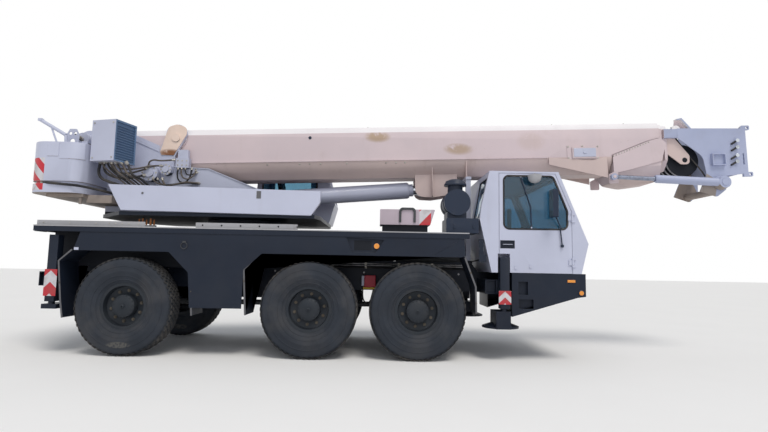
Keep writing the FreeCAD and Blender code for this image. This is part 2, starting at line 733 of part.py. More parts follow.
def turntable():
    right_edge = [(tail_front + rest_gap, -500), (-4650, -fairing_side), (-1620, -fairing_side),
                  (-1560, -900)]
    left_edge = [(x, -y) for x, y in right_edge[::-1]]
    floor = flat_plate(right_edge + left_edge, table_bottom, table_bottom + table_plate)
    drum_bottom = ring_top + rest_gap
    drum = rod((slew_x, 0, drum_bottom), (slew_x, 0, table_bottom), slew_ring_radius - 30)
    skin = -cheek_side - cheek_plate
    cheek = side_plate(cheek_outline, skin, -cheek_side)
    pieces = [floor, drum] + both_sides(cheek)
    for edge in cheek_flanges:
        pieces += both_sides(band(edge, 14, skin - 14, -cheek_side))
    pieces += both_sides(side_plate(pin_doubler, skin - 14, skin + 2))
    pieces.append(rod((foot_pin_x, skin - 30, foot_pin_z), (foot_pin_x, -skin + 24, foot_pin_z),
                      foot_pin_radius))
    for x, z, radius, reach in slew_drives:
        pieces.append(rod((x, skin - reach, z), (x, skin + 2, z), radius))
        pieces.append(rod((x, skin - reach - 25, z), (x, skin, z), radius * 0.55))
    pieces.append(block(-4097, -3873, skin - 70, skin + 42, 3015, 3181))
    pieces.append(block(-4070, -3900, skin - 50, skin + 30, 3170, 3330))
    lug = side_plate([(luff_base_x - 170, table_bottom + 10), (luff_base_x - 130, luff_base_z + 130, 100),
                      (luff_base_x + 130, luff_base_z + 130, 100), (luff_base_x + 170, table_bottom + 10)],
                     -210, -165)
    pieces += both_sides(lug)
    pieces.append(rod((luff_base_x, -240, luff_base_z), (luff_base_x, 240, luff_base_z), 60))
    return joined(pieces)


tail_front_corner = 220.0
# Raised panels on the tail's right side: low and high x, low and high z
tail_panels = ((-5825.0, -5644.0, 3031.0, 3240.0), (-5629.0, -5290.0, 2995.0, 3255.0))


def tail_plate(move, z0, z1):
    """The tail's rounded outline, moved inwards, between two heights."""
    points = [(tail_rear, -tail_half_width, tail_corner), (tail_front, -tail_half_width, tail_front_corner),
              (tail_front, tail_half_width, tail_front_corner), (tail_rear, tail_half_width, tail_corner)]
    return flat_plate(inset(points, move), z0, z1)


def counterweight():
    pieces = [tail_plate(0, 2460, 2600), tail_plate(25, 2595, 2645), tail_plate(0, 2640, 3265)]
    raised = tail_plate(-8, 2990, 3258)
    for x0, x1, z0, z1 in tail_panels:
        pieces.append(raised.common(block(x0, x1, -tail_half_width - 20, -tail_half_width + 260, z0, z1)))
    return joined(pieces)


def winch():
    drum = rod((-5680, -330, 3470), (-5680, 330, 3470), 150)
    flanges = [rod((-5680, y, 3470), (-5680, y + 20, 3470), 200) for y in (-350.0, 330.0)]
    gear = rod((-5680, -560, 3470), (-5680, -350, 3470), 110)
    feet = []
    for y in (-420.0, 380.0):
        feet.append(block(-5830, -5530, y, y + 24, 3265 + rest_gap, 3600))
    shaft = rod((-5680, -420, 3470), (-5680, 404, 3470), 60)
    base = block(-5850, -5510, -440, 440, 3265 + rest_gap, 3290)
    return joined([drum, gear, shaft, base] + flanges + feet)


# Cooler box: width and depth, its turn about the vertical, its near front corner
cooler_size = 450.0
cooler_turn = 15.0
cooler_corner = (-4780.0, -1210.0, 0.0)


def cooler_box():
    low = 2985
    high = 3645
    box = block(-cooler_size, 0, 0, cooler_size, low, high)
    mouth = block(-28, 10, 26, cooler_size - 26, low + 30, high - 30)
    slats = []
    for i in range(14):
        z = low + 62 + i * 40
        slats.append(side_plate([(-27, z), (-3, z - 14), (-3, z - 10), (-27, z + 4)], 24, cooler_size - 24))
    body = joined([box.cut(mouth)] + slats)
    body.rotate(Vector(0, 0, 0), Vector(0, 0, 1), -cooler_turn)
    body.translate(Vector(*cooler_corner))
    inner = -cheek_side - cheek_plate - rest_gap
    legs = [block(-5050, -4950, -730, inner, z, z + 60) for z in (3040, 3420)]
    return joined([body] + legs)


def fairings():
    right = side_plate([(-4819, 2598), (-4598, 2199), (-1662, 2168, 40), (-1530, 2374, 80), (-1523, 2553)],
                       -fairing_side - 72, -fairing_side - rest_gap)
    left = side_plate([(-4819, 2598), (-4598, 2199), (-2990, 2182), (-2990, 2598)],
                      fairing_side + rest_gap, fairing_side + 72)
    return [right, left]


operator_floor = table_bottom + table_plate + rest_gap + 45
operator_window = [(-2830, 2790, 40), (-1812, 2790, 40), (-1832, 3490, 40), (-2790, 3510, 40)]


operator_wall = 45.0


def operator_cab():
    seat = table_bottom + table_plate + rest_gap
    inner_side = 480
    profile = [(-2900, seat), (-1560, seat), (-1458, 2560), (-1718, 3560), (-2860, 3600), (-2960, 2700)]
    outer = side_plate(profile, inner_side, operator_side)
    inner = side_plate(inset(profile, operator_wall), inner_side + operator_wall,
                       operator_side - operator_wall)
    shell = outer.cut(inner)
    front = side_plate([(-1698, 2600), (-1378, 2600), (-1678, 3520), (-1838, 3500)],
                       inner_side + 60, operator_side - 60)
    right = side_plate(operator_window, inner_side - 10, inner_side + 50)
    roof = block(-2600, -1960, inner_side + 80, operator_side - 80, 3500, 3650)
    doorway = side_plate(operator_door_side, operator_side - 60, operator_side + 10)
    hinges = hinge_fixed(operator_hinge_x, operator_hinge_y, operator_hinge_heights, operator_hinge_x - 45,
                         operator_side - 5)
    return joined([shell.cut([front, right, roof, doorway])] + hinges)


def operator_seat():
    cushion = block(-2560, -2060, 640, 1100, 2560, 2680)
    base = block(-2480, -2160, 720, 1020, operator_floor + rest_gap, 2560)
    back = side_plate([(-2560, 2600), (-2450, 2600), (-2570, 3250), (-2660, 3250)], 640, 1100)
    return joined([cushion, base, back])


def operator_glass():
    low = (-1502, 2600 + rest_gap)
    high = (-1730, 3480)
    front = side_plate([low, (low[0] + glass_thickness, low[1]), (high[0] + glass_thickness, high[1]), high],
                       540 + rest_gap, operator_side - 60 - rest_gap)
    side = side_plate(inset(operator_window, rest_gap), 492, 492 + glass_thickness)
    roof = block(-2600 + rest_gap, -1960 - rest_gap, 560 + rest_gap, operator_side - 80 - rest_gap,
                 3546, 3546 + glass_thickness)
    return [front, side, roof]


operator_door_side = [(-2840, 2270), (-1960, 2270), (-1960, 3530), (-2790, 3560)]


def operator_door():
    skin = operator_side + 1
    panel = side_plate(inset(operator_door_side, 5), operator_side - operator_wall + 2, skin)
    window = side_plate([(-2780, 2800, 40), (-2020, 2800, 40), (-2020, 3470, 40), (-2750, 3490, 40)],
                        operator_side - 60, operator_side + 10)
    leaves, bores = hinge_moving(operator_hinge_x, operator_hinge_y, operator_hinge_heights,
                                 operator_hinge_x + 60, operator_side + 0.5)
    return joined([panel.cut(window)] + leaves).cut(bores)


# Boom, drawn along +X with the foot pin at the origin
def boom_outline(step):
    """The boom's cross outline; each inner section is the same, moved inwards by a step."""
    right = [(shoulder_half_width, boom_top), (boom_half_width, web_top), (boom_half_width, web_bottom),
             (364.0, -512.0), (275.0, -628.0), (shell_half_width, shell_bottom)]
    left = [(-y, v) for y, v in right[::-1]]
    return inset(right + left, step * (boom_wall + section_gap))


def boom_section(step, start, end):
    tube = cross_plate(boom_outline(step), start, end)
    return tube.cut(cross_plate(inset(boom_outline(step), boom_wall), start - 10, end + 10))


def nested(step):
    move = step * (boom_wall + section_gap)
    return boom_half_width - move, boom_top - move, shell_bottom + move


def pad_set(start, half, top, bottom, side_low, side_high):
    """Four wear pads on a section: each of half, top and bottom is a pair, from and to."""
    end = start + pad_length
    wide = pad_half_width
    pads = [block(start, end, -wide, wide, top[0], top[1]),
            block(start, end, -wide / 2, wide / 2, bottom[0], bottom[1])]
    return pads + both_sides(block(start, end, -half[1], -half[0], side_low, side_high))


def slide_pads(step, top_start, bottom_start):
    """Pads inside a section's front end that the next section slides on."""
    half, top, bottom = nested(step)
    inner = boom_wall - 1
    reach = boom_wall + section_gap - rest_gap
    upper = pad_set(top_start, (half - reach, half - inner), (top - reach, top - inner), (bottom, bottom + 1),
                    -180, -20)
    lower = pad_set(bottom_start, (half - inner, half - inner + 1), (top - 1, top),
                    (bottom + inner, bottom + reach), -180, -20)
    return [upper[0], upper[2], upper[3], lower[1]]


def tail_pads(step, start):
    """Pads on a section's rear end that slide inside the section before."""
    half, top, bottom = nested(step)
    reach = section_gap - rest_gap
    return pad_set(start, (half - 1, half + reach), (top - 1, top + reach), (bottom - reach, bottom + 1),
                   -400, -100)


def boom_base():
    half = boom_half_width
    front_cut = side_plate([(collar_end - 15, -900), (collar_end - 15, -396), (8216, -150), (8430, -101),
                            (9000, -101), (9000, -900)], -500, 500)
    tube = boom_section(0, boom_rear, boom_front).cut(front_cut)
    gusset = side_plate([(6450, web_bottom), (7199, -490), (7470, -424), (7470, -800), (6450, -555)],
                        -half - 14, -half)
    doubler = rod((0, -half - 20, 0), (0, -half, 0), 160)
    flange = block(boom_rear + 900, 6430, -half - 16, -half, web_bottom - 8, web_bottom + 8)
    side_box = block(6862, 7295, -half - 34, -half, -450, -258)
    box_frame = block(6780, 7334, -half - 8, -half + 2, -468, -223)
    eye_cheek = side_plate([(4120, -600), (4117, -1055, 145), (4430, -1075, 30), (4633, -1048, 40),
                            (4729, -1001), (4862, -800), (4862, -600)], -235, -205)
    ribs = [block(4410, 4426, -330, -205, -1062, -500), block(5000, 5016, -half, -150, -745, -420)]
    pieces = [tube]
    for piece in [gusset, doubler, flange, side_box, box_frame, eye_cheek] + ribs:
        pieces += both_sides(piece)
    bore = rod((0, -half - 60, 0), (0, half + 60, 0), foot_pin_radius + pin_fit)
    inside = cross_plate(inset(boom_outline(0), boom_wall), boom_rear - 10, boom_front + 600)
    return in_boom(joined([joined(pieces).cut([bore, inside])] + slide_pads(0, 8200, 7200)))


def boom_section_2():
    tube = boom_section(1, 150, section_2_end)
    return in_boom(joined([tube] + slide_pads(1, 8290, 8290) + tail_pads(1, 200)))


collar_end = 7575.0
section_2_end = 8480.0
head_tube_end = 8575.0

# Head, along the boom and up: its side plate, the plate behind it and the rounded pan below that
head_plate = [
    (8743.0, 54.0), (head_tip, 36.0), (head_tip - 4, -762.0), (9529.0, -805.0), (9520.0, -1040.0, 40),
    (9348.0, -1170.0, 60), (9057.0, -1066.0, 15), (9200.0, -767.0, 200), (9150.0, -450.0, 200),
    (8730.0, -117.0),
]
rear_plate = [
    (collar_end, -404.0), (8223.0, -160.0), (8428.0, -112.0), (8523.0, -199.0), (8432.0, -519.0),
    (7821.0, -677.0), (collar_end, -724.0),
]
pan_side = [
    (collar_end + 3, -480.0), (collar_end + 3, -715.0), (7640.0, -865.0, 60), (7901.0, -935.0, 150),
    (8372.0, -872.0, 80), (8425.0, -760.0), (8425.0, -480.0),
]
pan_cross = [
    (378.0, -480.0), (378.0, -600.0, 60), (300.0, -780.0, 120), (200.0, -935.0, 90),
    (-200.0, -935.0, 90), (-300.0, -780.0, 120), (-378.0, -600.0, 60), (-378.0, -480.0),
]
pan_sheet = 10.0


# Sheaves in the head: centre (along the boom, up)
sheave_centre = (8870.0, -500.0)
sheave_radius = 285.0
sheave_half = 22.0
sheave_shaft = 45.0
head_plate_side = boom_half_width + 16.0
head_plate_sheet = 18.0

# Jib cylinder beside the head: side distance, pins at (along the boom, up)
jib_side = 475.0
jib_rear = (7530.0, -802.0)
jib_rear_pin = 28.0
jib_knee = (9410.0, -930.0)
jib_knee_pin = 60.0
# Link pins through the head's side plate (along the boom, up)
link_pins = ((9767.0, -184.0), (9757.0, -302.0), (9744.0, -448.0), (9735.0, -556.0))


def head_pan():
    """The rounded pan under the collar, open to the tube above it."""
    def body(move):
        lengthwise = side_plate(inset(pan_side, move), -500, 500)
        return lengthwise.common(cross_plate(inset(pan_cross, move), 7000, 9000))
    return body(0).cut([body(pan_sheet), cross_plate(boom_outline(0), 7000, 9000)])


def boom_head():
    outer = head_plate_side
    inner = outer - head_plate_sheet
    tube_side = nested(2)[0] - 2
    slot = side_plate([(9858, -609, 11), (9882, -609, 11), (9882, -406, 11), (9858, -406, 11)],
                      -outer - 5, -inner + 5)
    plate = side_plate(head_plate, -outer, -inner).cut(slot)
    collar = side_plate(rear_plate, -outer, -inner)
    jib_lug = side_plate([(7484, -745), (collar_end, -700), (7650, -700), (7650, -905, 25), (7484, -905, 25)],
                         -outer, -inner)
    bulkhead = block(section_2_end + 10, section_2_end + 40, -outer, -tube_side, -505, -205)
    arm = block(head_tube_end - 75, 8800, -outer + 2, -tube_side, -110, 45)
    link = side_plate([(9290, -620), (9528, -620), (9528, -414), (9290, -414)], -outer - 55, -outer + 2)
    link = link.cut(block(9306, 9512, -outer - 60, -outer - 8, -604, -430))
    guard = side_plate([(8740, 225), (8830, 240), (8997, 40), (8960, 40), (8815, 214), (8745, 203)],
                       -outer, -inner + 40)
    roller = rod((8720, -outer + 4, 37), (8720, -tube_side, 37), 72)
    arm_side = [(8500, -40), (8660, -40), (8960, -420, 40), (8950, -575, 60), (8800, -575, 60), (8500, -330)]
    along_boom, up = sheave_centre
    shaft_bore = rod((along_boom, -tube_side - 8, up), (along_boom, -tube_side + 38, up), sheave_shaft + pin_fit)
    sheave_arm = side_plate(arm_side, -tube_side, -tube_side + head_plate_sheet).cut(shaft_bore)
    pieces = [boom_section(2, 250, head_tube_end), head_pan()] + tail_pads(2, 300)
    for piece in (plate, collar, jib_lug, bulkhead, arm, link, guard, roller, sheave_arm):
        pieces += both_sides(piece)
    for lug in lug_outlines():
        pieces += both_sides(side_plate(lug, -outer, -outer + 40))
    for u, v in link_pins:
        pieces += both_sides(rod((u, -outer - 34, v), (u, -inner, v), 20))
    pieces.append(block(9420, 9440, -outer, outer, -790, -40))
    pieces.append(block(9890, 9910, -outer, outer, -745, 20))
    pieces.append(rod((9300, -outer, -1080), (9300, outer, -1080), 60))
    for (u, v), reach, radius in ((jib_rear, 45, jib_rear_pin), (jib_knee, 80, jib_knee_pin)):
        pieces.append(rod((u, -jib_side - reach, v), (u, -inner, v), radius))
    bores = []
    for v in lug_heights:
        bores.append(rod((lug_end - 40, -outer - 10, v), (lug_end - 40, outer + 10, v), lug_bore))
    return in_boom(joined(pieces).cut(bores))


def lug_outlines():
    """The two jib lugs: the root on the plate and the rounded outer end of each."""
    upper, lower = lug_heights
    high = lug_half_height
    return [
        [(head_tip, upper - high), (9850.0, -40.0), (9850.0, upper + 10), (9880.0, upper + high),
         (lug_end, upper + high, lug_round), (lug_end, upper - high, lug_round)],
        [(9850.0, lower - high), (9850.0, -745.0), (head_tip, lower + high),
         (lug_end, lower + high, lug_round), (lug_end, lower - high, lug_round)],
    ]


def head_sheaves():
    along_boom, up = sheave_centre
    half = nested(2)[0] - 2
    pieces = [rod((along_boom, -half, up), (along_boom, half, up), sheave_shaft)]
    root = sheave_radius - 26
    groove = [(0, -sheave_half), (sheave_radius, -sheave_half), (root, -3), (root, 3),
              (sheave_radius, sheave_half), (0, sheave_half)]
    for y in (-240.0, -120.0, 0.0, 120.0, 240.0):
        pieces.append(revolve_y(groove, along_boom, y, up))
    return in_boom(joined(pieces))


def jib_cylinder():
    start = Vector(jib_rear[0], -jib_side, jib_rear[1])
    end = Vector(jib_knee[0], -jib_side, jib_knee[1])
    way = (end - start).normalize()
    neck = start + way * 735
    across = Vector(0, 1, 0)
    chrome = Part.makeCylinder(38, 760, start, way)
    barrel = Part.makeCylinder(70, (end - neck).Length - 60, neck, way)
    gland = Part.makeCone(56, 70, 30, neck - way * 30, way)
    rear_eye = Part.makeCylinder(54, 70, start + Vector(0, -35, 0), across)
    knee = Part.makeCone(102, 126, 130, end + Vector(0, -70, 0), across)
    bores = [Part.makeCylinder(jib_rear_pin + pin_fit, 200, start + Vector(0, -100, 0), across),
             Part.makeCylinder(jib_knee_pin + pin_fit, 200, end + Vector(0, -100, 0), across)]
    return in_boom(joined([chrome, barrel, gland, rear_eye, knee]).cut(bores))


luff_length = math.hypot(luff_eye_x - luff_base_x, luff_eye_z - luff_base_z)
luff_angle = math.degrees(math.atan2(luff_eye_z - luff_base_z, luff_eye_x - luff_base_x))


def in_luff(shape):
    placed = shape.copy()
    placed.rotate(Vector(0, 0, 0), Vector(0, 1, 0), -luff_angle)
    placed.translate(Vector(luff_base_x, 0, luff_base_z))
    return placed


barrel_end = luff_length - 250


def luff_barrel():
    tube = rod((90, 0, 0), (barrel_end - 30, 0, 0), barrel_radius)
    cap = Part.makeCone(barrel_radius, barrel_radius - 16, 30, Vector(barrel_end - 30, 0, 0), Vector(1, 0, 0))
    gland = rod((barrel_end - 10, 0, 0), (barrel_end + 75, 0, 0), barrel_radius - 36)
    eye = rod((0, -155, 0), (0, 155, 0), 120)
    bore = rod((0, -300, 0), (0, 300, 0), 60 + pin_fit)
    rod_bore = rod((400, 0, 0), (barrel_end + 90, 0, 0), rod_radius + pin_fit)
    return in_luff(joined([tube, cap, gland, eye]).cut([bore, rod_bore]))


def luff_rod():
    shaft = rod((420, 0, 0), (luff_length - 60, 0, 0), rod_radius)
    eye = rod((luff_length, -190, 0), (luff_length, 190, 0), 125)
    return in_luff(joined([shaft, eye]))


# Marker plates on the legs: low and high z
plate_rear = (872.0, 1275.0)
plate_front = (868.0, 1074.0)


def outrigger_beam(side, centre_x, leg_bottom, leg_top):
    half = beam_width / 2
    leg = leg_width / 2
    beam = block(centre_x - half, centre_x + half, -leg_side, beam_reach - 60,
                 beam_bottom, beam_bottom + beam_height)
    post = block(centre_x - leg, centre_x + leg, -leg_side - leg, -leg_side + leg, leg_bottom, leg_top)
    plate_low, plate_high = plate_rear if centre_x < 0 else plate_front
    plate = block(centre_x - 95, centre_x + 95, -leg_side - leg - 5, -leg_side - leg, plate_low, plate_high)
    bore = rod((centre_x, -leg_side, leg_bottom - 10), (centre_x, -leg_side, leg_top - 30), leg_bore)
    whole = joined([beam, post, plate]).cut(bore)
    return whole if side < 0 else mirrored(whole)


def outrigger_foot(side, centre_x, foot_bottom, leg_bottom, leg_top, reach):
    """The jack's ram with its round pad, pushed in under the vehicle as it is for the road."""
    shaft = rod((centre_x, -leg_side, foot_bottom + 30), (centre_x, -leg_side, leg_top - 40), foot_rod)
    neck_top = leg_bottom - 40
    pad = revolve_z([(0, foot_bottom), (reach, foot_bottom), (reach, foot_bottom + 26),
                     (reach * 0.5, foot_bottom + 26 + reach * 0.18), (0, foot_bottom + 26 + reach * 0.18)],
                    centre_x, -pad_side)
    head = block(centre_x - 128, centre_x + 96, -leg_side - 48, -pad_side + 130, foot_bottom + 40, neck_top)
    toe = block(centre_x - 128, centre_x + 96, -leg_side - 48, -pad_side, foot_bottom, foot_bottom + 60)
    whole = joined([shaft, pad, head, toe])
    return whole if side < 0 else mirrored(whole)


def build():
    save("chassis_frame", chassis_frame())
    save("deck", deck())
    save("side_panels", side_panels())
    save("mudguards", mudguards())
    save("engine_block", engine_block())
    save("axle_beams", axle_beams())
    for name, x in (("front", 0.0), ("middle", middle_axle_x)):
        save("knuckle_" + name + "_right", knuckle(x))
        save("knuckle_" + name + "_left", mirrored(knuckle(x)))
    for name, x in (("front", 0.0), ("middle", middle_axle_x), ("rear", rear_axle_x)):
        save("tyre_" + name + "_right", tyre(x))
        save("tyre_" + name + "_left", mirrored(tyre(x)))
        save("rim_" + name + "_right", rim(x))
        save("rim_" + name + "_left", mirrored(rim(x)))
    for name, side, centre_x, pad_bottom, leg_bottom, leg_top, radius in outriggers:
        save("outrigger_beam_" + name, outrigger_beam(side, centre_x, leg_bottom, leg_top))
        save("outrigger_foot_" + name, outrigger_foot(side, centre_x, pad_bottom, leg_bottom, leg_top, radius))
    save("cab_shell", cab_shell())
    save("cab_glass", cab_glass())
    save("door_right", door())
    save("door_left", mirrored(door()))
    save("door_glass_right", door_glass())
    save("door_glass_left", mirrored(door_glass()))
    save("mirror_right", mirror())
    save("mirror_left", [mirrored(piece) for piece in mirror()])
    save("bumper", bumper())
    save("seats", seats())
    save("dashboard", dashboard())
    save("lamps", lamps())
    save("air_filter", air_filter())
    save("deck_box", deck_box())
    save("turntable", turntable())
    save("counterweight", counterweight())
    save("winch", winch())
    save("cooler_box", cooler_box())
    save("fairings", fairings())
    save("operator_cab", operator_cab())
    save("operator_glass", operator_glass())
    save("operator_seat", operator_seat())
    save("operator_door", operator_door())
    save("boom_base", boom_base())
    save("boom_section_2", boom_section_2())
    save("boom_head", boom_head())
    save("head_sheaves", head_sheaves())
    save("jib_cylinder", jib_cylinder())
    save("luff_barrel", luff_barrel())
    save("luff_rod", luff_rod())


build()
print("origin shift", origin_shift)
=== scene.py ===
import bpy
import bmesh
import math
import random
from mathutils import Matrix, Vector


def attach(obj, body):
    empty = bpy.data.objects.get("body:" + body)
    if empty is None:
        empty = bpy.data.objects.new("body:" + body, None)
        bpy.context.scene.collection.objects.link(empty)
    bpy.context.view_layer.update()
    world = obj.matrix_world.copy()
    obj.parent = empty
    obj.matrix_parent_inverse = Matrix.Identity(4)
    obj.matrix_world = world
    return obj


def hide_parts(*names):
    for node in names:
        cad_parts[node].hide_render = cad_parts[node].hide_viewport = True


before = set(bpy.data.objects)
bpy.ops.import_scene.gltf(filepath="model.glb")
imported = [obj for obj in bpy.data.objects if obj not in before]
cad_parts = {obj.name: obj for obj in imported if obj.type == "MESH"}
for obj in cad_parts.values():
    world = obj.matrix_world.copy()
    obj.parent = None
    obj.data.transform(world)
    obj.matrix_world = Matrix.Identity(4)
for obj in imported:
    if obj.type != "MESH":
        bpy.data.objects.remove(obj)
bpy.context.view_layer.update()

print("frame loaded", len(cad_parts), "nodes")

# Sizes shared with the solids, in metres; x is measured from the front axle
shift = 0.125698197
tyreRadius = 0.740
wheelSide = 1.125
axleX = {"front": 0.0, "middle": -1.65, "rear": -4.44}
footPin = (-4.137, 3.545)
boomAngle = math.radians(2.1)
deckTop = 1.945


def row(x, y, z):
    return Vector((x + shift, y, z))


def boomSpot(along, side, up):  # a place on the boom, measured from the foot pin
    turnX = along * math.cos(boomAngle) - up * math.sin(boomAngle)
    turnZ = along * math.sin(boomAngle) + up * math.cos(boomAngle)
    return row(footPin[0] + turnX, side, footPin[1] + turnZ)


boomPlace = Matrix.Translation(row(footPin[0], 0, footPin[1])) @ Matrix.Rotation(-boomAngle, 4, "Y")


# Shader maths: a socket that takes plain arithmetic
class Flow:
    def __init__(self, tree, socket):
        self.tree = tree
        self.socket = socket

    def maths(self, operation, first, second=0.0, third=0.0):
        node = self.tree.nodes.new("ShaderNodeMath")
        node.operation = operation
        for place, value in enumerate((first, second, third)):
            if isinstance(value, Flow):
                self.tree.links.new(value.socket, node.inputs[place])
            else:
                node.inputs[place].default_value = value
        return Flow(self.tree, node.outputs[0])

    def __add__(self, other):
        return self.maths("ADD", self, other)

    def __radd__(self, other):
        return self.maths("ADD", other, self)

    def __sub__(self, other):
        return self.maths("SUBTRACT", self, other)

    def __rsub__(self, other):
        return self.maths("SUBTRACT", other, self)

    def __mul__(self, other):
        return self.maths("MULTIPLY", self, other)

    def __rmul__(self, other):
        return self.maths("MULTIPLY", other, self)

    def __truediv__(self, other):
        return self.maths("DIVIDE", self, other)

    def __gt__(self, other):
        return self.maths("GREATER_THAN", self, other)

    def __lt__(self, other):
        return self.maths("LESS_THAN", self, other)

    def fraction(self):
        return self.maths("FRACT", self)

    def sine(self):
        return self.maths("SINE", self)

    def larger(self, other):
        return self.maths("MAXIMUM", self, other)

    def size(self):
        return self.maths("ABSOLUTE", self)

    def smooth(self, low, high):  # 0 below low, 1 above high
        node = self.tree.nodes.new("ShaderNodeMapRange")
        node.interpolation_type = "SMOOTHSTEP"
        self.tree.links.new(self.socket, node.inputs[0])
        node.inputs[1].default_value = low
        node.inputs[2].default_value = high
        return Flow(self.tree, node.outputs[0])


class Finish:
    def __init__(self, name, **constants):
        self.material = bpy.data.materials.new(name)
        self.material.use_nodes = True
        self.tree = self.material.node_tree
        self.shader = self.tree.nodes["Principled BSDF"]
        for label, value in constants.items():
            self.shader.inputs[label.replace("_", " ")].default_value = value
        self.coords = self.node("TexCoord", output="Object")
        self.x, self.y, self.z = (self.node("SeparateXYZ", inputs={0: self.coords}, output=i) for i in range(3))

    def node(self, kind, settings=None, inputs=None, output=0):
        item = self.tree.nodes.new("ShaderNode" + kind)
        for key, value in (settings or {}).items():
            if key == "stops":
                ramp = item.color_ramp
                while len(ramp.elements) < len(value):
                    ramp.elements.new(0.5)
                for element, (position, colour) in zip(ramp.elements, value):
                    element.position = position
                    element.color = (*colour, 1.0)
            else:
                setattr(item, key, value)
        for key, value in (inputs or {}).items():
            self.feed(item.inputs[key], value)
        return Flow(self.tree, item.outputs[output])

    def feed(self, socket, value):
        if isinstance(value, Flow):
            self.tree.links.new(value.socket, socket)
        elif isinstance(value, tuple) and len(value) == 3 and socket.type == "RGBA":
            socket.default_value = (*value, 1.0)
        else:
            socket.default_value = value

    def mix(self, first, second, factor):
        return self.node("Mix", {"data_type": "RGBA"}, {0: factor, 6: first, 7: second}, 2)

    def noise(self, scale, detail=3.0, stretch=(1.0, 1.0, 1.0), roughness=0.55, offset=(0.0, 0.0, 0.0)):
        spot = self.node("Mapping", None, {0: self.coords, 1: offset, 3: stretch})
        return self.node("TexNoise", None, {"Vector": spot, "Scale": scale, "Detail": detail, "Roughness": roughness})

    def cells(self, scale, stretch=(1.0, 1.0, 1.0)):
        spot = self.node("Mapping", None, {0: self.coords, 3: stretch})
        return self.node("TexVoronoi", None, {"Vector": spot, "Scale": scale})

    def edges(self, radius):  # 1 near an outer or inner edge, 0 on open faces
        rounded = self.node("Bevel", {"samples": 4}, {"Radius": radius})
        straight = self.node("NewGeometry", output="Normal")
        likeness = self.node("VectorMath", {"operation": "DOT_PRODUCT"}, {0: rounded, 1: straight}, "Value")
        return (1.0 - likeness).smooth(0.01, 0.12)

    def bump(self, height, strength, distance):
        return self.node("Bump", None, {"Strength": strength, "Distance": distance, "Height": height})

    def surface(self, **links):
        for label, value in links.items():
            self.feed(self.shader.inputs[label.replace("_", " ")], value)
        return self.material


# Painted metal in the open: tone, streaks, dust, chips along edges, rust spots
def paint(name, look):
    f = Finish(name, Specular_IOR_Level=look.get("shine", 0.45))
    tone = f.noise(0.9, 4.0)
    colour = f.mix(look["colour"], look["shade"], tone.smooth(0.35, 0.75))
    streaks = f.noise(7.0, 5.0, (1.0, 1.0, look.get("streakLength", 0.12)))
    patches = f.noise(1.7, 5.0, offset=(3.1, 7.7, 1.3))
    dirt = (streaks.smooth(0.52, 0.78) * 0.6 + patches.smooth(0.55, 0.8)) * look["dirt"]
    colour = f.mix(colour, look["dirtColour"], dirt.smooth(0.0, 1.0))
    for x, z, wide, high, strength in look.get("smudges", ()):
        beside = (f.x - (x + shift)) / wide
        above = (f.z - z) / high
        away = beside * beside + above * above
        mark = (1.0 - away.smooth(0.1, 1.0)) * f.noise(9.0, 5.0, offset=(x, 1.0, z)).smooth(0.28, 0.46) * strength
        colour = f.mix(colour, look["smudgeColour"], mark)
    if look.get("dust"):
        low, high = look["dustHeights"]
        lowness = 1.0 - f.z.smooth(low, high)
        dustiness = (lowness * 0.7 + 0.3) * f.noise(4.0, 6.0).smooth(0.3, 0.75) * look["dust"]
        colour = f.mix(colour, look["dustColour"], dustiness)
    wear = f.edges(look.get("edge", 0.008)) * f.noise(22.0, 4.0).smooth(0.5, 0.68) * look["wear"]
    colour = f.mix(colour, look["wearColour"], wear)
    spots = f.cells(9.0)
    rust = (0.055 - spots).smooth(0.0, 0.03) * f.noise(1.1, 2.0, offset=(9.0, 2.0, 5.0)).smooth(0.55, 0.7)
    colour = f.mix(colour, (0.16, 0.06, 0.025), rust * look.get("rust", 0.0))
    roughness = look["roughness"] + tone * 0.14 + dirt * 0.2 + wear * 0.25
    dents = f.noise(2.3, 2.0, offset=(1.0, 4.0, 8.0)) * 0.8 + f.noise(160.0, 2.0) * 0.02
    return f.surface(Base_Color=colour, Roughness=roughness,
                     Normal=f.bump(dents, look.get("dent", 0.25), 0.01), Coat_Weight=look.get("coat", 0.0) * (1.0 - dirt))


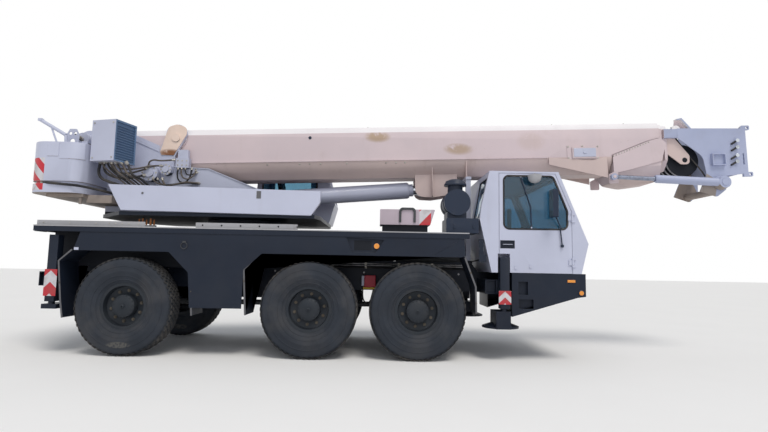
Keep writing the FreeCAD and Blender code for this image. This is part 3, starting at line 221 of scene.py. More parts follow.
paints = {
    "white": dict(colour=(0.525, 0.55, 0.685), shade=(0.475, 0.497, 0.62), dirtColour=(0.30, 0.26, 0.23), dirt=0.24,
                  wearColour=(0.20, 0.14, 0.11), wear=0.5, rust=0.7, roughness=0.34, coat=0.15),
    "boom": dict(colour=(0.67, 0.555, 0.575), shade=(0.61, 0.515, 0.54), dirtColour=(0.36, 0.27, 0.22), dirt=0.26,
                 wearColour=(0.24, 0.17, 0.13), wear=0.5, rust=0.8, roughness=0.42, streakLength=0.2,
                 smudgeColour=(0.42, 0.30, 0.20),
                 smudges=((-0.67, 3.66, 0.26, 0.12, 0.9), (0.75, 3.47, 0.30, 0.12, 0.8), (2.02, 3.63, 0.30, 0.20, 0.2))),
    # top: a lighter copy of the boom paint, a painted highlight on the boom's upper bevel where light from above falls
    "top": dict(colour=(0.88, 0.85, 0.87), shade=(0.82, 0.79, 0.81), dirtColour=(0.36, 0.28, 0.22), dirt=0.2,
                wearColour=(0.24, 0.17, 0.13), wear=0.5, rust=0.9, roughness=0.40),
    # a darker, warm copy of the boom paint: painted shade on downward faces, tinted by light bounced from the ground
    "peach": dict(colour=(0.65, 0.52, 0.49), shade=(0.57, 0.46, 0.445), dirtColour=(0.30, 0.20, 0.15), dirt=0.4,
                  wearColour=(0.24, 0.15, 0.10), wear=0.6, rust=1.0, roughness=0.5, streakLength=0.3),
    "cream": dict(colour=(0.84, 0.67, 0.57), shade=(0.77, 0.60, 0.50), dirtColour=(0.36, 0.22, 0.13), dirt=0.35,
                  wearColour=(0.25, 0.16, 0.10), wear=0.6, rust=1.0, roughness=0.5,
                  smudgeColour=(0.22, 0.09, 0.035), smudges=((-4.22, 3.27, 0.24, 0.09, 1.0),)),
    "steel blue": dict(colour=(0.42, 0.46, 0.63), shade=(0.36, 0.40, 0.56), dirtColour=(0.24, 0.20, 0.19), dirt=0.35,
                       wearColour=(0.2, 0.14, 0.11), wear=0.6, rust=0.8, roughness=0.4),
    "box": dict(colour=(0.50, 0.42, 0.485), shade=(0.44, 0.37, 0.42), dirtColour=(0.26, 0.20, 0.18), dirt=0.35,
                wearColour=(0.2, 0.14, 0.11), wear=0.6, rust=0.8, roughness=0.42),
    # grime: dirty brown paint, used only on undersides and low faces, where it is painted shade as well as grime
    "grime": dict(colour=(0.36, 0.31, 0.28), shade=(0.26, 0.21, 0.18), dirtColour=(0.16, 0.11, 0.08), dirt=0.8,
                  wearColour=(0.2, 0.12, 0.08), wear=0.6, rust=1.0, roughness=0.6),
    "rusty": dict(colour=(0.22, 0.115, 0.065), shade=(0.15, 0.075, 0.045), dirtColour=(0.07, 0.045, 0.035), dirt=0.8,
                  wearColour=(0.32, 0.19, 0.12), wear=0.5, rust=1.0, roughness=0.7),
    "dark": dict(colour=(0.012, 0.018, 0.033), shade=(0.010, 0.014, 0.026), dirtColour=(0.035, 0.034, 0.037), dirt=0.25,
                 dust=0.05, dustHeights=(0.3, 2.2), dustColour=(0.13, 0.12, 0.11), wearColour=(0.10, 0.11, 0.13),
                 wear=0.4, rust=0.3, roughness=0.36, dent=0.4, shine=0.22),
    "base": dict(colour=(0.012, 0.014, 0.020), shade=(0.009, 0.011, 0.016), dirtColour=(0.04, 0.037, 0.035), dirt=0.4,
                 wearColour=(0.1, 0.1, 0.1), wear=0.3, roughness=0.6, shine=0.2),
    "rail": dict(colour=(0.40, 0.40, 0.42), shade=(0.33, 0.33, 0.35), dirtColour=(0.16, 0.13, 0.11), dirt=0.5,
                 wearColour=(0.12, 0.10, 0.09), wear=0.7, rust=0.8, roughness=0.45),
    "engine": dict(colour=(0.060, 0.064, 0.070), shade=(0.042, 0.045, 0.050), dirtColour=(0.04, 0.034, 0.030), dirt=0.6,
                   wearColour=(0.2, 0.17, 0.14), wear=0.6, rust=0.8, roughness=0.5, shine=0.3),
    "slate": dict(colour=(0.13, 0.22, 0.37), shade=(0.105, 0.18, 0.31), dirtColour=(0.20, 0.18, 0.16), dirt=0.3,
                  wearColour=(0.3, 0.3, 0.3), wear=0.4, roughness=0.5),
    "wheel": dict(colour=(0.022, 0.028, 0.037), shade=(0.017, 0.022, 0.030), dirtColour=(0.06, 0.054, 0.050), dirt=0.4,
                  dust=0.10, dustHeights=(0.2, 1.3), dustColour=(0.14, 0.125, 0.11), wearColour=(0.10, 0.10, 0.10),
                  wear=0.5, rust=0.6, roughness=0.45, shine=0.25),
    "red": dict(colour=(0.45, 0.025, 0.05), shade=(0.38, 0.022, 0.04), dirtColour=(0.2, 0.1, 0.08), dirt=0.3,
                wearColour=(0.5, 0.4, 0.4), wear=0.5, roughness=0.4),
    "yellow": dict(colour=(0.62, 0.40, 0.04), shade=(0.52, 0.33, 0.03), dirtColour=(0.2, 0.14, 0.08), dirt=0.4,
                   wearColour=(0.2, 0.15, 0.1), wear=0.5, roughness=0.45),
    "orange": dict(colour=(0.55, 0.20, 0.05), shade=(0.48, 0.12, 0.04), dirtColour=(0.2, 0.12, 0.08), dirt=0.5,
                   wearColour=(0.3, 0.25, 0.2), wear=0.6, roughness=0.4),
}
paintOf = {name: paint("paint_" + name, look) for name, look in paints.items()}


def rubber(name, colour, dusty, scuffs=()):
    f = Finish(name, Specular_IOR_Level=0.22)
    tone = f.noise(3.0, 5.0)
    base = f.mix(colour, tuple(c * 1.25 for c in colour), tone.smooth(0.35, 0.7))
    dust = f.noise(2.6, 6.0, offset=(2.0, 0.0, 4.0)).smooth(0.40, 0.80) * dusty
    base = f.mix(base, (0.15, 0.135, 0.12), dust)
    for x, z, wide, high, scuffColour in scuffs:
        beside = (f.x - (x + shift)) / wide
        above = (f.z - z) / high
        away = beside * beside + above * above
        base = f.mix(base, scuffColour, (1.0 - away.smooth(0.35, 1.0)) * f.noise(30.0, 4.0).smooth(0.3, 0.6) * 0.8)
    grain = f.noise(70.0, 3.0)
    return f.surface(Base_Color=base, Roughness=0.66 + grain * 0.2, Normal=f.bump(grain, 0.25, 0.004))


def metal(name, colour, roughness, grime=0.3, metallic=1.0):
    f = Finish(name, Metallic=metallic)
    tone = f.noise(14.0, 5.0)
    base = f.mix(colour, tuple(c * 0.6 for c in colour), tone.smooth(0.4, 0.75))
    base = f.mix(base, (0.11, 0.075, 0.05), f.noise(3.3, 5.0, offset=(5.0, 1.0, 0.0)).smooth(0.5, 0.75) * grime)
    return f.surface(Base_Color=base, Roughness=roughness + tone * 0.18, Normal=f.bump(tone, 0.15, 0.003))


def plastic(name, colour, roughness=0.45):
    f = Finish(name, Specular_IOR_Level=0.3)
    grain = f.noise(240.0, 2.0)
    dust = f.noise(5.0, 5.0).smooth(0.5, 0.8) * 0.10
    base = f.mix(colour, (0.2, 0.18, 0.16), dust)
    return f.surface(Base_Color=base, Roughness=roughness + dust * 0.4, Normal=f.bump(grain, 0.12, 0.001))


def lens(name, colour, glow=0.0):
    f = Finish(name, Roughness=0.12, Coat_Weight=0.6, Emission_Strength=glow)
    ribs = (f.x * 90.0 + f.z * 90.0).fraction()
    base = f.mix(colour, tuple(c * 0.72 for c in colour), ribs.smooth(0.3, 0.7))
    return f.surface(Base_Color=base, Emission_Color=base, Normal=f.bump(ribs, 0.25, 0.002))


def windowGlass(name, colour):
    f = Finish(name, Transmission_Weight=0.92, IOR=1.45)
    dust = f.noise(3.0, 5.0).smooth(0.45, 0.8)
    return f.surface(Base_Color=f.mix(colour, tuple(c * 0.85 for c in colour), dust), Roughness=0.02 + dust * 0.05)


def cloth(name, colour):
    f = Finish(name, Sheen_Weight=0.3, Specular_IOR_Level=0.2)
    weave = ((f.x + f.y) * 220.0).fraction().smooth(0.2, 0.8) * ((f.z - f.y) * 220.0).fraction().smooth(0.2, 0.8)
    base = f.mix(colour, tuple(c * 1.6 for c in colour), weave)
    return f.surface(Base_Color=base, Roughness=0.9, Normal=f.bump(weave, 0.4, 0.001))


tyreRubber = rubber("tyre_rubber", (0.026, 0.031, 0.041), 0.2,
                    ((-4.45, 0.174, 0.20, 0.055, (0.13, 0.125, 0.115)), (0.252, 0.60, 0.018, 0.11, (0.30, 0.015, 0.03))))
treadRubber = rubber("tread_rubber", (0.032, 0.033, 0.036), 0.6)
hoseRubber = rubber("hose_rubber", (0.022, 0.022, 0.025), 0.5)
dustyHose = rubber("dusty_hose", (0.105, 0.090, 0.080), 0.6)
bareSteel = metal("bare_steel", (0.36, 0.36, 0.38), 0.38, 0.6)
chromeSteel = metal("chrome_steel", (0.62, 0.66, 0.72), 0.12, 0.15)
# chrome darkened and tinted blue: a painted reflection of the surroundings on the jib's rod
reflectionTintedChrome = metal("dark_chrome", (0.30, 0.33, 0.42), 0.16, 0.2)
zincSteel = metal("zinc_steel", (0.50, 0.48, 0.44), 0.42, 0.5, 0.8)
ropeSteel = metal("rope_steel", (0.30, 0.29, 0.28), 0.5, 0.5)
dustyBolt = metal("dusty_bolt", (0.11, 0.095, 0.075), 0.65, 0.4, 0.2)
mirrorGlass = metal("mirror_glass", (0.55, 0.60, 0.64), 0.05, 0.1)
yellowPaint = paintOf["yellow"]
orangePaint = paintOf["orange"]
dark2 = paintOf["base"]
blackPlastic = plastic("black_plastic", (0.012, 0.021, 0.044))
greyPlastic = plastic("grey_plastic", (0.12, 0.12, 0.13))
amberLens = lens("amber_lens", (0.85, 0.30, 0.025), 0.12)
redLens = lens("red_lens", (0.6, 0.03, 0.03), 0.1)
clearLens = lens("clear_lens", (0.75, 0.78, 0.8))
teaGlass = windowGlass("teal_glass", (0.13, 0.30, 0.42))
seatCloth = cloth("seat_cloth", (0.03, 0.032, 0.036))
print("materials ready")


# Making pieces
def finish(name, mesh, body, material, smoothAngle=35.0, bevel=0.0, segments=2):
    piece = bpy.data.objects.new(name, mesh)
    bpy.context.scene.collection.objects.link(piece)
    if not mesh.materials:
        mesh.materials.append(material)
    mesh.shade_smooth()
    mesh.set_sharp_from_angle(angle=math.radians(smoothAngle))
    if bevel:
        edge = piece.modifiers.new("edge", "BEVEL")
        edge.width = bevel
        edge.segments = segments
        edge.limit_method = "ANGLE"
        edge.angle_limit = math.radians(35)
        edge.harden_normals = True
    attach(piece, body)
    return piece


def meshFrom(bm, name, place=None):
    bmesh.ops.recalc_face_normals(bm, faces=bm.faces)
    mesh = bpy.data.meshes.new(name)
    bm.to_mesh(mesh)
    bm.free()
    if place:
        mesh.transform(place)
    return mesh


def boxInto(bm, low, high):
    middle = (Vector(low) + Vector(high)) / 2
    size = Vector(high) - Vector(low)
    made = bmesh.ops.create_cube(bm, size=1.0, matrix=Matrix.Translation(middle) @ Matrix.Diagonal((*size, 1.0)))
    return made["verts"]


def rodInto(bm, start, end, radius, steps=24, endRadius=None):
    start = Vector(start)
    end = Vector(end)
    way = end - start
    turn = way.to_track_quat("Z", "Y").to_matrix().to_4x4()
    place = Matrix.Translation((start + end) / 2) @ turn
    return bmesh.ops.create_cone(bm, cap_ends=True, segments=steps, radius1=radius,
                                 radius2=radius if endRadius is None else endRadius, depth=way.length, matrix=place)


def turnedInto(bm, profile, steps, place):
    # profile: (distance from the axis, distance along it); the axis is Z before place is applied
    rings = []
    for radius, height in profile:
        ring = []
        for i in range(steps):
            angle = 2 * math.pi * i / steps
            spot = place @ Vector((radius * math.cos(angle), radius * math.sin(angle), height))
            ring.append(bm.verts.new(spot))
        rings.append(ring)
    for first, second in zip(rings, rings[1:]):
        for i in range(steps):
            bm.faces.new((first[i], first[(i + 1) % steps], second[(i + 1) % steps], second[i]))
    return rings


def plateInto(bm, outline, thickness, place):
    # outline in X and Y of place, thickness along its Z
    low = [bm.verts.new(place @ Vector((a, b, 0))) for a, b in outline]
    high = [bm.verts.new(place @ Vector((a, b, thickness))) for a, b in outline]
    bm.faces.new(low[::-1])
    bm.faces.new(high)
    for i in range(len(outline)):
        following = (i + 1) % len(outline)
        bm.faces.new((low[i], low[following], high[following], high[i]))


def tubePiece(name, points, radius, body, material, sides=10, order=3):
    # a held hose, pipe or bar along a smooth line
    curve = bpy.data.curves.new(name, "CURVE")
    curve.dimensions = "3D"
    curve.bevel_depth = radius
    curve.bevel_resolution = max(1, sides // 4)
    curve.use_fill_caps = True
    curve.resolution_u = 6
    spline = curve.splines.new("NURBS")
    spline.points.add(len(points) - 1)
    for spot, point in zip(spline.points, points):
        spot.co = (*point, 1.0)
    spline.order_u = order
    spline.use_endpoint_u = True
    carrier = bpy.data.objects.new(name + "_line", curve)
    bpy.context.scene.collection.objects.link(carrier)
    bpy.context.view_layer.update()
    mesh = bpy.data.meshes.new_from_object(carrier.evaluated_get(bpy.context.evaluated_depsgraph_get()))
    bpy.data.objects.remove(carrier)
    mesh.materials.clear()
    return finish(name, mesh, body, material, 60.0)


def refined(node, body, material, bevel=0.004, segments=2, name=None):
    # a welded, bevelled copy of a solid, in place of the loose triangles
    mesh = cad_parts[node].data.copy()
    bm = bmesh.new()
    bm.from_mesh(mesh)
    bmesh.ops.remove_doubles(bm, verts=bm.verts, dist=0.00002)
    bmesh.ops.dissolve_limit(bm, angle_limit=math.radians(1.0), verts=bm.verts, edges=bm.edges)
    bm.to_mesh(mesh)
    bm.free()
    mesh.materials.clear()
    piece = finish(name or "fine_" + node, mesh, body, material, 32.0, bevel, segments)
    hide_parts(node)
    return piece



# Geometry Nodes: a tree with named inputs, turned into a plain mesh
class Layout:
    def __init__(self, name, inputs):
        self.tree = bpy.data.node_groups.new(name, "GeometryNodeTree")
        self.tree.is_modifier = True
        face = self.tree.interface
        face.new_socket("Geometry", in_out="INPUT", socket_type="NodeSocketGeometry")
        for label, kind in inputs.items():
            face.new_socket(label, in_out="INPUT", socket_type="NodeSocket" + kind)
        face.new_socket("Material", in_out="INPUT", socket_type="NodeSocketMaterial")
        face.new_socket("Geometry", in_out="OUTPUT", socket_type="NodeSocketGeometry")
        self.given = self.tree.nodes.new("NodeGroupInput").outputs
        self.exit = self.tree.nodes.new("NodeGroupOutput")

    def node(self, kind, settings=None, inputs=None, output=0):
        item = self.tree.nodes.new(kind)
        for key, value in (settings or {}).items():
            setattr(item, key, value)
        for key, value in (inputs or {}).items():
            if isinstance(value, bpy.types.NodeSocket):
                self.tree.links.new(value, item.inputs[key])
            else:
                item.inputs[key].default_value = value
        return item.outputs[output]

    def close(self, geometry):
        solid = self.node("GeometryNodeRealizeInstances", None, {0: geometry})
        painted = self.node("GeometryNodeSetMaterial", None, {"Geometry": solid, "Material": self.given["Material"]})
        self.tree.links.new(painted, self.exit.inputs[0])

    def mesh(self, points, values, place=None):
        holder = bpy.data.objects.new("holder", points or bpy.data.meshes.new("empty"))
        bpy.context.scene.collection.objects.link(holder)
        modifier = holder.modifiers.new("layout", "NODES")
        modifier.node_group = self.tree
        for item in self.tree.interface.items_tree:
            if item.item_type == "SOCKET" and item.in_out == "INPUT" and item.name in values:
                modifier[item.identifier] = values[item.name]
        bpy.context.view_layer.update()
        made = bpy.data.meshes.new_from_object(holder.evaluated_get(bpy.context.evaluated_depsgraph_get()))
        bpy.data.objects.remove(holder)
        if place:
            made.transform(place)
        return made


def ringLayout():  # copies of a shape evenly round Z, its own +X pointing outwards
    t = Layout("round_the_axis", {"Shape": "Object", "Count": "Int", "Radius": "Float", "Start": "Float"})
    circle = t.node("GeometryNodeMeshCircle", None, {"Vertices": t.given["Count"], "Radius": t.given["Radius"]})
    shape = t.node("GeometryNodeObjectInfo", {"transform_space": "ORIGINAL"}, {"Object": t.given["Shape"]}, "Geometry")
    spot = t.node("GeometryNodeInputPosition")
    turn = t.node("FunctionNodeAlignRotationToVector", {"axis": "X", "pivot_axis": "Z"}, {"Vector": spot})
    copies = t.node("GeometryNodeInstanceOnPoints", None, {"Points": circle, "Instance": shape, "Rotation": turn})
    angle = t.node("ShaderNodeCombineXYZ", None, {"Z": t.given["Start"]})
    turned = t.node("GeometryNodeTransform", None, {"Geometry": copies, "Rotation": angle})
    t.close(turned)
    return t


def stampLayout():  # a shape on each point, its +Z along the point's aim, with a seeded turn about it
    t = Layout("on_points", {"Shape": "Object", "Turn": "Float", "Seed": "Int"})
    shape = t.node("GeometryNodeObjectInfo", {"transform_space": "ORIGINAL"}, {"Object": t.given["Shape"]}, "Geometry")
    aim = t.node("GeometryNodeInputNamedAttribute", {"data_type": "FLOAT_VECTOR"}, {"Name": "aim"})
    face = t.node("FunctionNodeAlignRotationToVector", {"axis": "Z"}, {"Vector": aim})
    chance = t.node("FunctionNodeRandomValue", {"data_type": "FLOAT"}, {"Seed": t.given["Seed"]}, 1)
    own = t.node("ShaderNodeMath", {"operation": "MULTIPLY"}, {0: chance, 1: t.given["Turn"]})
    spin = t.node("ShaderNodeCombineXYZ", None, {"Z": own})
    turn = t.node("FunctionNodeRotateRotation", {"rotation_space": "LOCAL"}, {0: face, 1: spin})
    dots = t.node("GeometryNodeMeshToPoints", None, {"Mesh": t.given["Geometry"]})
    copies = t.node("GeometryNodeInstanceOnPoints", None, {"Points": dots, "Instance": shape, "Rotation": turn})
    t.close(copies)
    return t


def coilLayout():  # wraps of rope side by side along Z
    t = Layout("rope_wraps", {"Count": "Int", "Drum radius": "Float", "Rope radius": "Float", "Pitch": "Float"})
    ring = t.node("GeometryNodeCurvePrimitiveCircle", None, {"Resolution": 40, "Radius": t.given["Drum radius"]})
    cross = t.node("GeometryNodeCurvePrimitiveCircle", None, {"Resolution": 6, "Radius": t.given["Rope radius"]})
    wrap = t.node("GeometryNodeCurveToMesh", None, {"Curve": ring, "Profile Curve": cross})
    step = t.node("ShaderNodeCombineXYZ", None, {"Z": t.given["Pitch"]})
    line = t.node("GeometryNodeMeshLine", None, {"Count": t.given["Count"], "Offset": step})
    t.close(t.node("GeometryNodeInstanceOnPoints", None, {"Points": line, "Instance": wrap}))
    return t


ringTree, stampTree, coilTree = ringLayout(), stampLayout(), coilLayout()


def joined(name, meshes):
    bm = bmesh.new()
    materials = []
    for mesh in meshes:
        start = len(bm.faces)
        bm.from_mesh(mesh)
        bm.faces.ensure_lookup_table()
        for face in bm.faces[start:]:
            material = mesh.materials[face.material_index] if mesh.materials else None
            if material not in materials:
                materials.append(material)
            face.material_index = materials.index(material)
    whole = bpy.data.meshes.new(name)
    bm.to_mesh(whole)
    bm.free()
    for material in materials:
        if material:
            whole.materials.append(material)
    return whole


def holder(mesh):  # keeps a small shape for the trees; it is never shown
    return bpy.data.objects.new(mesh.name, mesh)


def boltShape(size):
    bm = bmesh.new()
    bmesh.ops.create_cone(bm, cap_ends=True, segments=12, radius1=1.35 * size, radius2=1.35 * size, depth=0.24 * size,
                          matrix=Matrix.Translation((0, 0, 0.12 * size)))
    bmesh.ops.create_cone(bm, cap_ends=True, segments=6, radius1=size, radius2=size * 0.93, depth=0.7 * size,
                          matrix=Matrix.Translation((0, 0, 0.55 * size)))
    return holder(meshFrom(bm, "bolt"))


def studShape(size):
    bm = bmesh.new()
    turnedInto(bm, [(size, -0.2 * size), (size, 0.1 * size), (0.8 * size, 0.45 * size), (0.35 * size, 0.6 * size)],
               10, Matrix())
    bmesh.ops.holes_fill(bm, edges=bm.edges)
    return holder(meshFrom(bm, "stud"))


def stamped(shape, spots, material, seed=3, turn=6.28):
    # spots: (place, aim) pairs
    points = bpy.data.meshes.new("spots")
    points.from_pydata([tuple(place) for place, aim in spots], [], [])
    aims = points.attributes.new("aim", "FLOAT_VECTOR", "POINT")
    for item, (place, aim) in zip(aims.data, spots):
        item.vector = tuple(aim)
    return stampTree.mesh(points, {"Shape": shape, "Turn": turn, "Seed": seed, "Material": material})


def ringed(shape, count, radius, place, material, start=0.0):
    return ringTree.mesh(None, {"Shape": shape, "Count": count, "Radius": radius, "Start": start,
                                "Material": material}, place)


def offsetLoop(points, distance):  # an outline of (a, b, radius) corners moved outwards
    count = len(points)
    area = sum(points[i - 1][0] * points[i][1] - points[i][0] * points[i - 1][1] for i in range(count))
    sign = -1 if area > 0 else 1
    moved = []
    for i in range(count):
        here = Vector(points[i][:2])
        before = (here - Vector(points[i - 1][:2])).normalized()
        after = (Vector(points[(i + 1) % count][:2]) - here).normalized()
        one = Vector((-before.y, before.x)) * sign
        two = Vector((-after.y, after.x)) * sign
        middle = (one + two).normalized()
        spot = here + middle * (distance / middle.dot(one))
        radius = points[i][2] if len(points[i]) > 2 else 0.0
        moved.append((spot.x, spot.y, max(0.001, radius + distance)))
    return moved


def rounded(points, steps=5):  # corners (a, b, radius) as a line of points
    result = []
    count = len(points)
    for i in range(count):
        here = Vector(points[i][:2])
        radius = max(points[i][2] if len(points[i]) > 2 else 0.0, 0.001)
        before = (Vector(points[i - 1][:2]) - here).normalized()
        after = (Vector(points[(i + 1) % count][:2]) - here).normalized()
        half = before.angle(after) / 2
        centre = here + (before + after).normalized() * (radius / math.sin(half))
        reach = radius / math.tan(half)
        first = here + before * reach - centre
        last = here + after * reach - centre
        for k in range(steps + 1):
            share = k / steps
            mixed = first.lerp(last, share).normalized() * radius
            result.append(tuple(centre + mixed))
    return result


def rimInto(bm, corners, outside, inside, low, high, place):
    # a frame round an outline: from inside it to outside it, thick from low to high
    outer = rounded(offsetLoop(corners, outside))
    inner = rounded(offsetLoop(corners, -inside))
    rings = []
    for line, level in ((outer, low), (outer, high), (inner, high), (inner, low)):
        rings.append([bm.verts.new(place @ Vector((a, b, level))) for a, b in line])
    count = len(outer)
    for k in range(4):
        first, second = rings[k], rings[(k + 1) % 4]
        for i in range(count):
            bm.faces.new((first[i], first[(i + 1) % count], second[(i + 1) % count], second[i]))


def sidePlace(y, side):  # a plane along X and Z at the side, its normal outwards
    turn = Matrix(((1, 0, 0), (0, 0, side), (0, 1, 0))).to_4x4()
    return Matrix.Translation((shift, y * side, 0)) @ turn


def kit(name, body, material, boxes=(), rods=(), both=False, bevel=0.003, extra=None):
    # boxes: (low, high); rods: (start, end, radius[, end radius]); all in metres from the front axle
    bm = bmesh.new()
    for side in ((1, -1) if both else (1,)):
        for low, high in boxes:
            a = row(low[0], low[1] * side, low[2])
            b = row(high[0], high[1] * side, high[2])
            boxInto(bm, [min(p, q) for p, q in zip(a, b)], [max(p, q) for p, q in zip(a, b)])
        for start, end, *radii in rods:
            rodInto(bm, row(start[0], start[1] * side, start[2]), row(end[0], end[1] * side, end[2]), radii[0],
                    18, radii[1] if len(radii) > 1 else None)
        if extra:
            extra(bm, side)
    mesh = meshFrom(bm, name)
    return finish(name, mesh, body, material, 35.0, bevel)


def ringInto(bm, centre, axis, radius, thick, steps=28, sides=8):
    turn = Vector(axis).to_track_quat("Z", "Y").to_matrix().to_4x4()
    place = Matrix.Translation(centre) @ turn
    rings = []
    for i in range(steps):
        a = 2 * math.pi * i / steps
        ring = []
        for k in range(sides):
            b = 2 * math.pi * k / sides
            reach = radius + thick * math.cos(b)
            ring.append(bm.verts.new(place @ Vector((reach * math.cos(a), reach * math.sin(a), thick * math.sin(b)))))
        rings.append(ring)
    for i in range(steps):
        first, second = rings[i], rings[(i + 1) % steps]
        for k in range(sides):
            bm.faces.new((first[k], second[k], second[(k + 1) % sides], first[(k + 1) % sides]))


def recolour(piece, cuts, regions):
    # cuts: (place, normal) planes that split faces; regions: (material, test of a face's middle and normal)
    mesh = piece.data
    bm = bmesh.new()
    bm.from_mesh(mesh)
    for spot, normal in cuts:
        bmesh.ops.bisect_plane(bm, geom=bm.verts[:] + bm.edges[:] + bm.faces[:], plane_co=spot, plane_no=normal,
                               dist=0.0001)
    for material, test in regions:
        mesh.materials.append(material)
        index = len(mesh.materials) - 1
        for face in bm.faces:
            if test(face.calc_center_median(), face.normal):
                face.material_index = index
    bm.to_mesh(mesh)
    bm.free()
    mesh.shade_smooth()
    mesh.set_sharp_from_angle(angle=math.radians(32))


print("kit ready")

# Wheels: turned tyre with block tread, rim with nuts
tyreLook = dict(treadCount=52, treadHeight=0.011, centreBlock=0.030, sidewallRings=((0.400, 0.005), (0.463, 0.004),
                (0.600, 0.005)), nutCircle=0.232, nutCount=10, hubBolts=16, hubCircle=0.150)


def tyreProfile(look):
    # (distance from the axle, distance outwards) over one half, from the bead to the crown
    half = [(0.3178, 0.1295), (0.340, 0.141), (0.3525, 0.1497), (0.361, 0.158), (0.370, 0.160), (0.378, 0.167),
            (0.392, 0.176), (0.430, 0.191), (0.470, 0.203), (0.510, 0.2115), (0.524, 0.2145), (0.530, 0.2145),
            (0.537, 0.2115), (0.580, 0.210), (0.625, 0.205), (0.655, 0.200), (0.676, 0.196), (0.690, 0.189),
            (0.706, 0.173), (0.717, 0.152), (0.7235, 0.128), (0.7265, 0.080), (0.7275, 0.020)]
    for radius, height in look["sidewallRings"]:
        near = min(range(len(half) - 1), key=lambda i: abs((half[i][0] + half[i + 1][0]) / 2 - radius))
        (r0, h0), (r1, h1) = half[near], half[near + 1]
        share = (radius - r0) / (r1 - r0)
        base = h0 + (h1 - h0) * share
        half[near + 1:near + 1] = [(radius - 0.008, h0 + (h1 - h0) * (share - 0.008 / (r1 - r0))),
                                   (radius - 0.004, base + height), (radius + 0.004, base + height),
                                   (radius + 0.008, h0 + (h1 - h0) * (share + 0.008 / (r1 - r0)))]
    half.sort()
    return half


def treadBlock(low, high, top, skew, wide, side=0.0):
    # outwards is +X, along the wheel's turn +Y, across the tread +Z
    bm = bmesh.new()
    base = 0.716
    rings = []
    for reach, narrow in ((base, 1.0), (top - 0.003, 0.97), (top, 0.88)):
        ring = []
        for z, y in ((low, -1), (low, 1), (high, 1), (high, -1)):
            middle = (low + high) / 2
            drop = side * abs(z) if abs(z) > 0.14 else 0.0
            ring.append(bm.verts.new((reach - drop, y * wide * narrow + skew * (z - middle),
                                      middle + (z - middle) * narrow)))
        rings.append(ring)
    for first, second in zip(rings, rings[1:]):
        for i in range(4):
            bm.faces.new((first[i], first[(i + 1) % 4], second[(i + 1) % 4], second[i]))
    bm.faces.new(rings[-1])
    bm.faces.new(rings[0][::-1])
    return holder(meshFrom(bm, "tread_block"))


def wheelPlace(x, side):
    return Matrix.Translation(row(x, side * wheelSide, tyreRadius)) @ Matrix.Rotation(math.radians(-90 * side), 4, "X")


def addWheels(look):
    rows = [(-0.026, 0.026, 0.7385, 0.25, 0.031, 0.0), (0.038, 0.088, 0.7385, 0.45, 0.031, 0.5),
            (0.100, 0.150, 0.7365, 0.30, 0.029, 0.0), (-0.088, -0.038, 0.7385, 0.45, 0.031, 0.5),
            (-0.150, -0.100, 0.7365, 0.30, 0.029, 0.0), (0.152, 0.186, 0.722, 0.0, 0.022, 0.5),
            (-0.186, -0.152, 0.722, 0.0, 0.022, 0.5)]
    blocks = [(treadBlock(low, high, top, skew, wide), phase) for low, high, top, skew, wide, phase in rows]
    nut = boltShape(0.019)
    small = boltShape(0.010)
    outer = tyreProfile(look)
    for where, x in axleX.items():
        for sideName, side in (("right", -1), ("left", 1)):
            place = wheelPlace(x, side)
            body = "wheel_%s_%s" % (where, sideName)
            bm = bmesh.new()
            loop = outer + [(r, -h) for r, h in outer[::-1]]
            rings = turnedInto(bm, loop, 96, place)
            first, last = rings[0], rings[-1]
            for i in range(96):
                bm.faces.new((last[i], last[(i + 1) % 96], first[(i + 1) % 96], first[i]))
            parts = [meshFrom(bm, "carcass")]
            parts[0].materials.append(tyreRubber)
            for shape, phase in blocks:
                parts.append(ringed(shape, look["treadCount"], 0.0001, place, treadRubber,
                                    phase * 2 * math.pi / look["treadCount"]))
            tyre = finish("tyre_%s_%s_full" % (where, sideName), joined("tyre", parts), body, tyreRubber,
                          30.0)
            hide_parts("tyre_%s_%s" % (where, sideName))
            fine = refined("rim_%s_%s" % (where, sideName), body, paintOf["wheel"], 0.003)
            hub = place @ Matrix.Translation((0, 0, 0.150))
            dish = place @ Matrix.Translation((0, 0, 0.048))
            nuts = [ringed(nut, look["nutCount"], look["nutCircle"], dish, dustyBolt, 0.2),
                    ringed(small, look["hubBolts"], look["hubCircle"], hub @ Matrix.Translation((0, 0, 0.006)),
                           paintOf["wheel"], 0.1)]
            bm = bmesh.new()
            turnedInto(bm, [(0.030, 0.178), (0.030, 0.190), (0.022, 0.196), (0.010, 0.197)], 16, place)
            rodInto(bm, place @ Vector((0.27, 0.05, 0.03)), place @ Vector((0.268, 0.05, 0.10)), 0.006, 10)
            cap = meshFrom(bm, "hub_plug")
            cap.materials.append(paintOf["wheel"])
            finish("nuts_%s_%s" % (where, sideName), joined("nuts", nuts + [cap]), body, bareSteel, 35.0)


addWheels(tyreLook)
print("wheels ready")


# Solids as welded, bevelled pieces in their own colours, with painted highlight and painted shade on some faces
def inBoom(spot):  # a place on the boom as (along, side, up) from the foot pin
    back = boomPlace.inverted() @ Vector(spot)
    return back.x, back.y, back.z


def between(value, low, high):
    return low < value < high


markerCentres = {"front_right": 1.330, "front_left": 1.150, "rear_right": -5.570, "rear_left": -5.750}


def markerPaint(name, centre, low, high):  # white plate with red arrows that point up
    f = Finish(name, Roughness=0.4)
    climb = (f.z + (f.x - (centre + shift)).size() * 0.95 - high) / ((high - low) * 0.86)
    colour = f.mix((0.62, 0.61, 0.64), (0.50, 0.02, 0.035), (climb + 0.555).fraction() > 0.5)
    dirt = f.noise(8.0, 5.0).smooth(0.42, 0.75)
    colour = f.mix(colour, (0.16, 0.12, 0.10), dirt * 0.4)
    return f.surface(Base_Color=colour, Roughness=0.4 + dirt * 0.3)


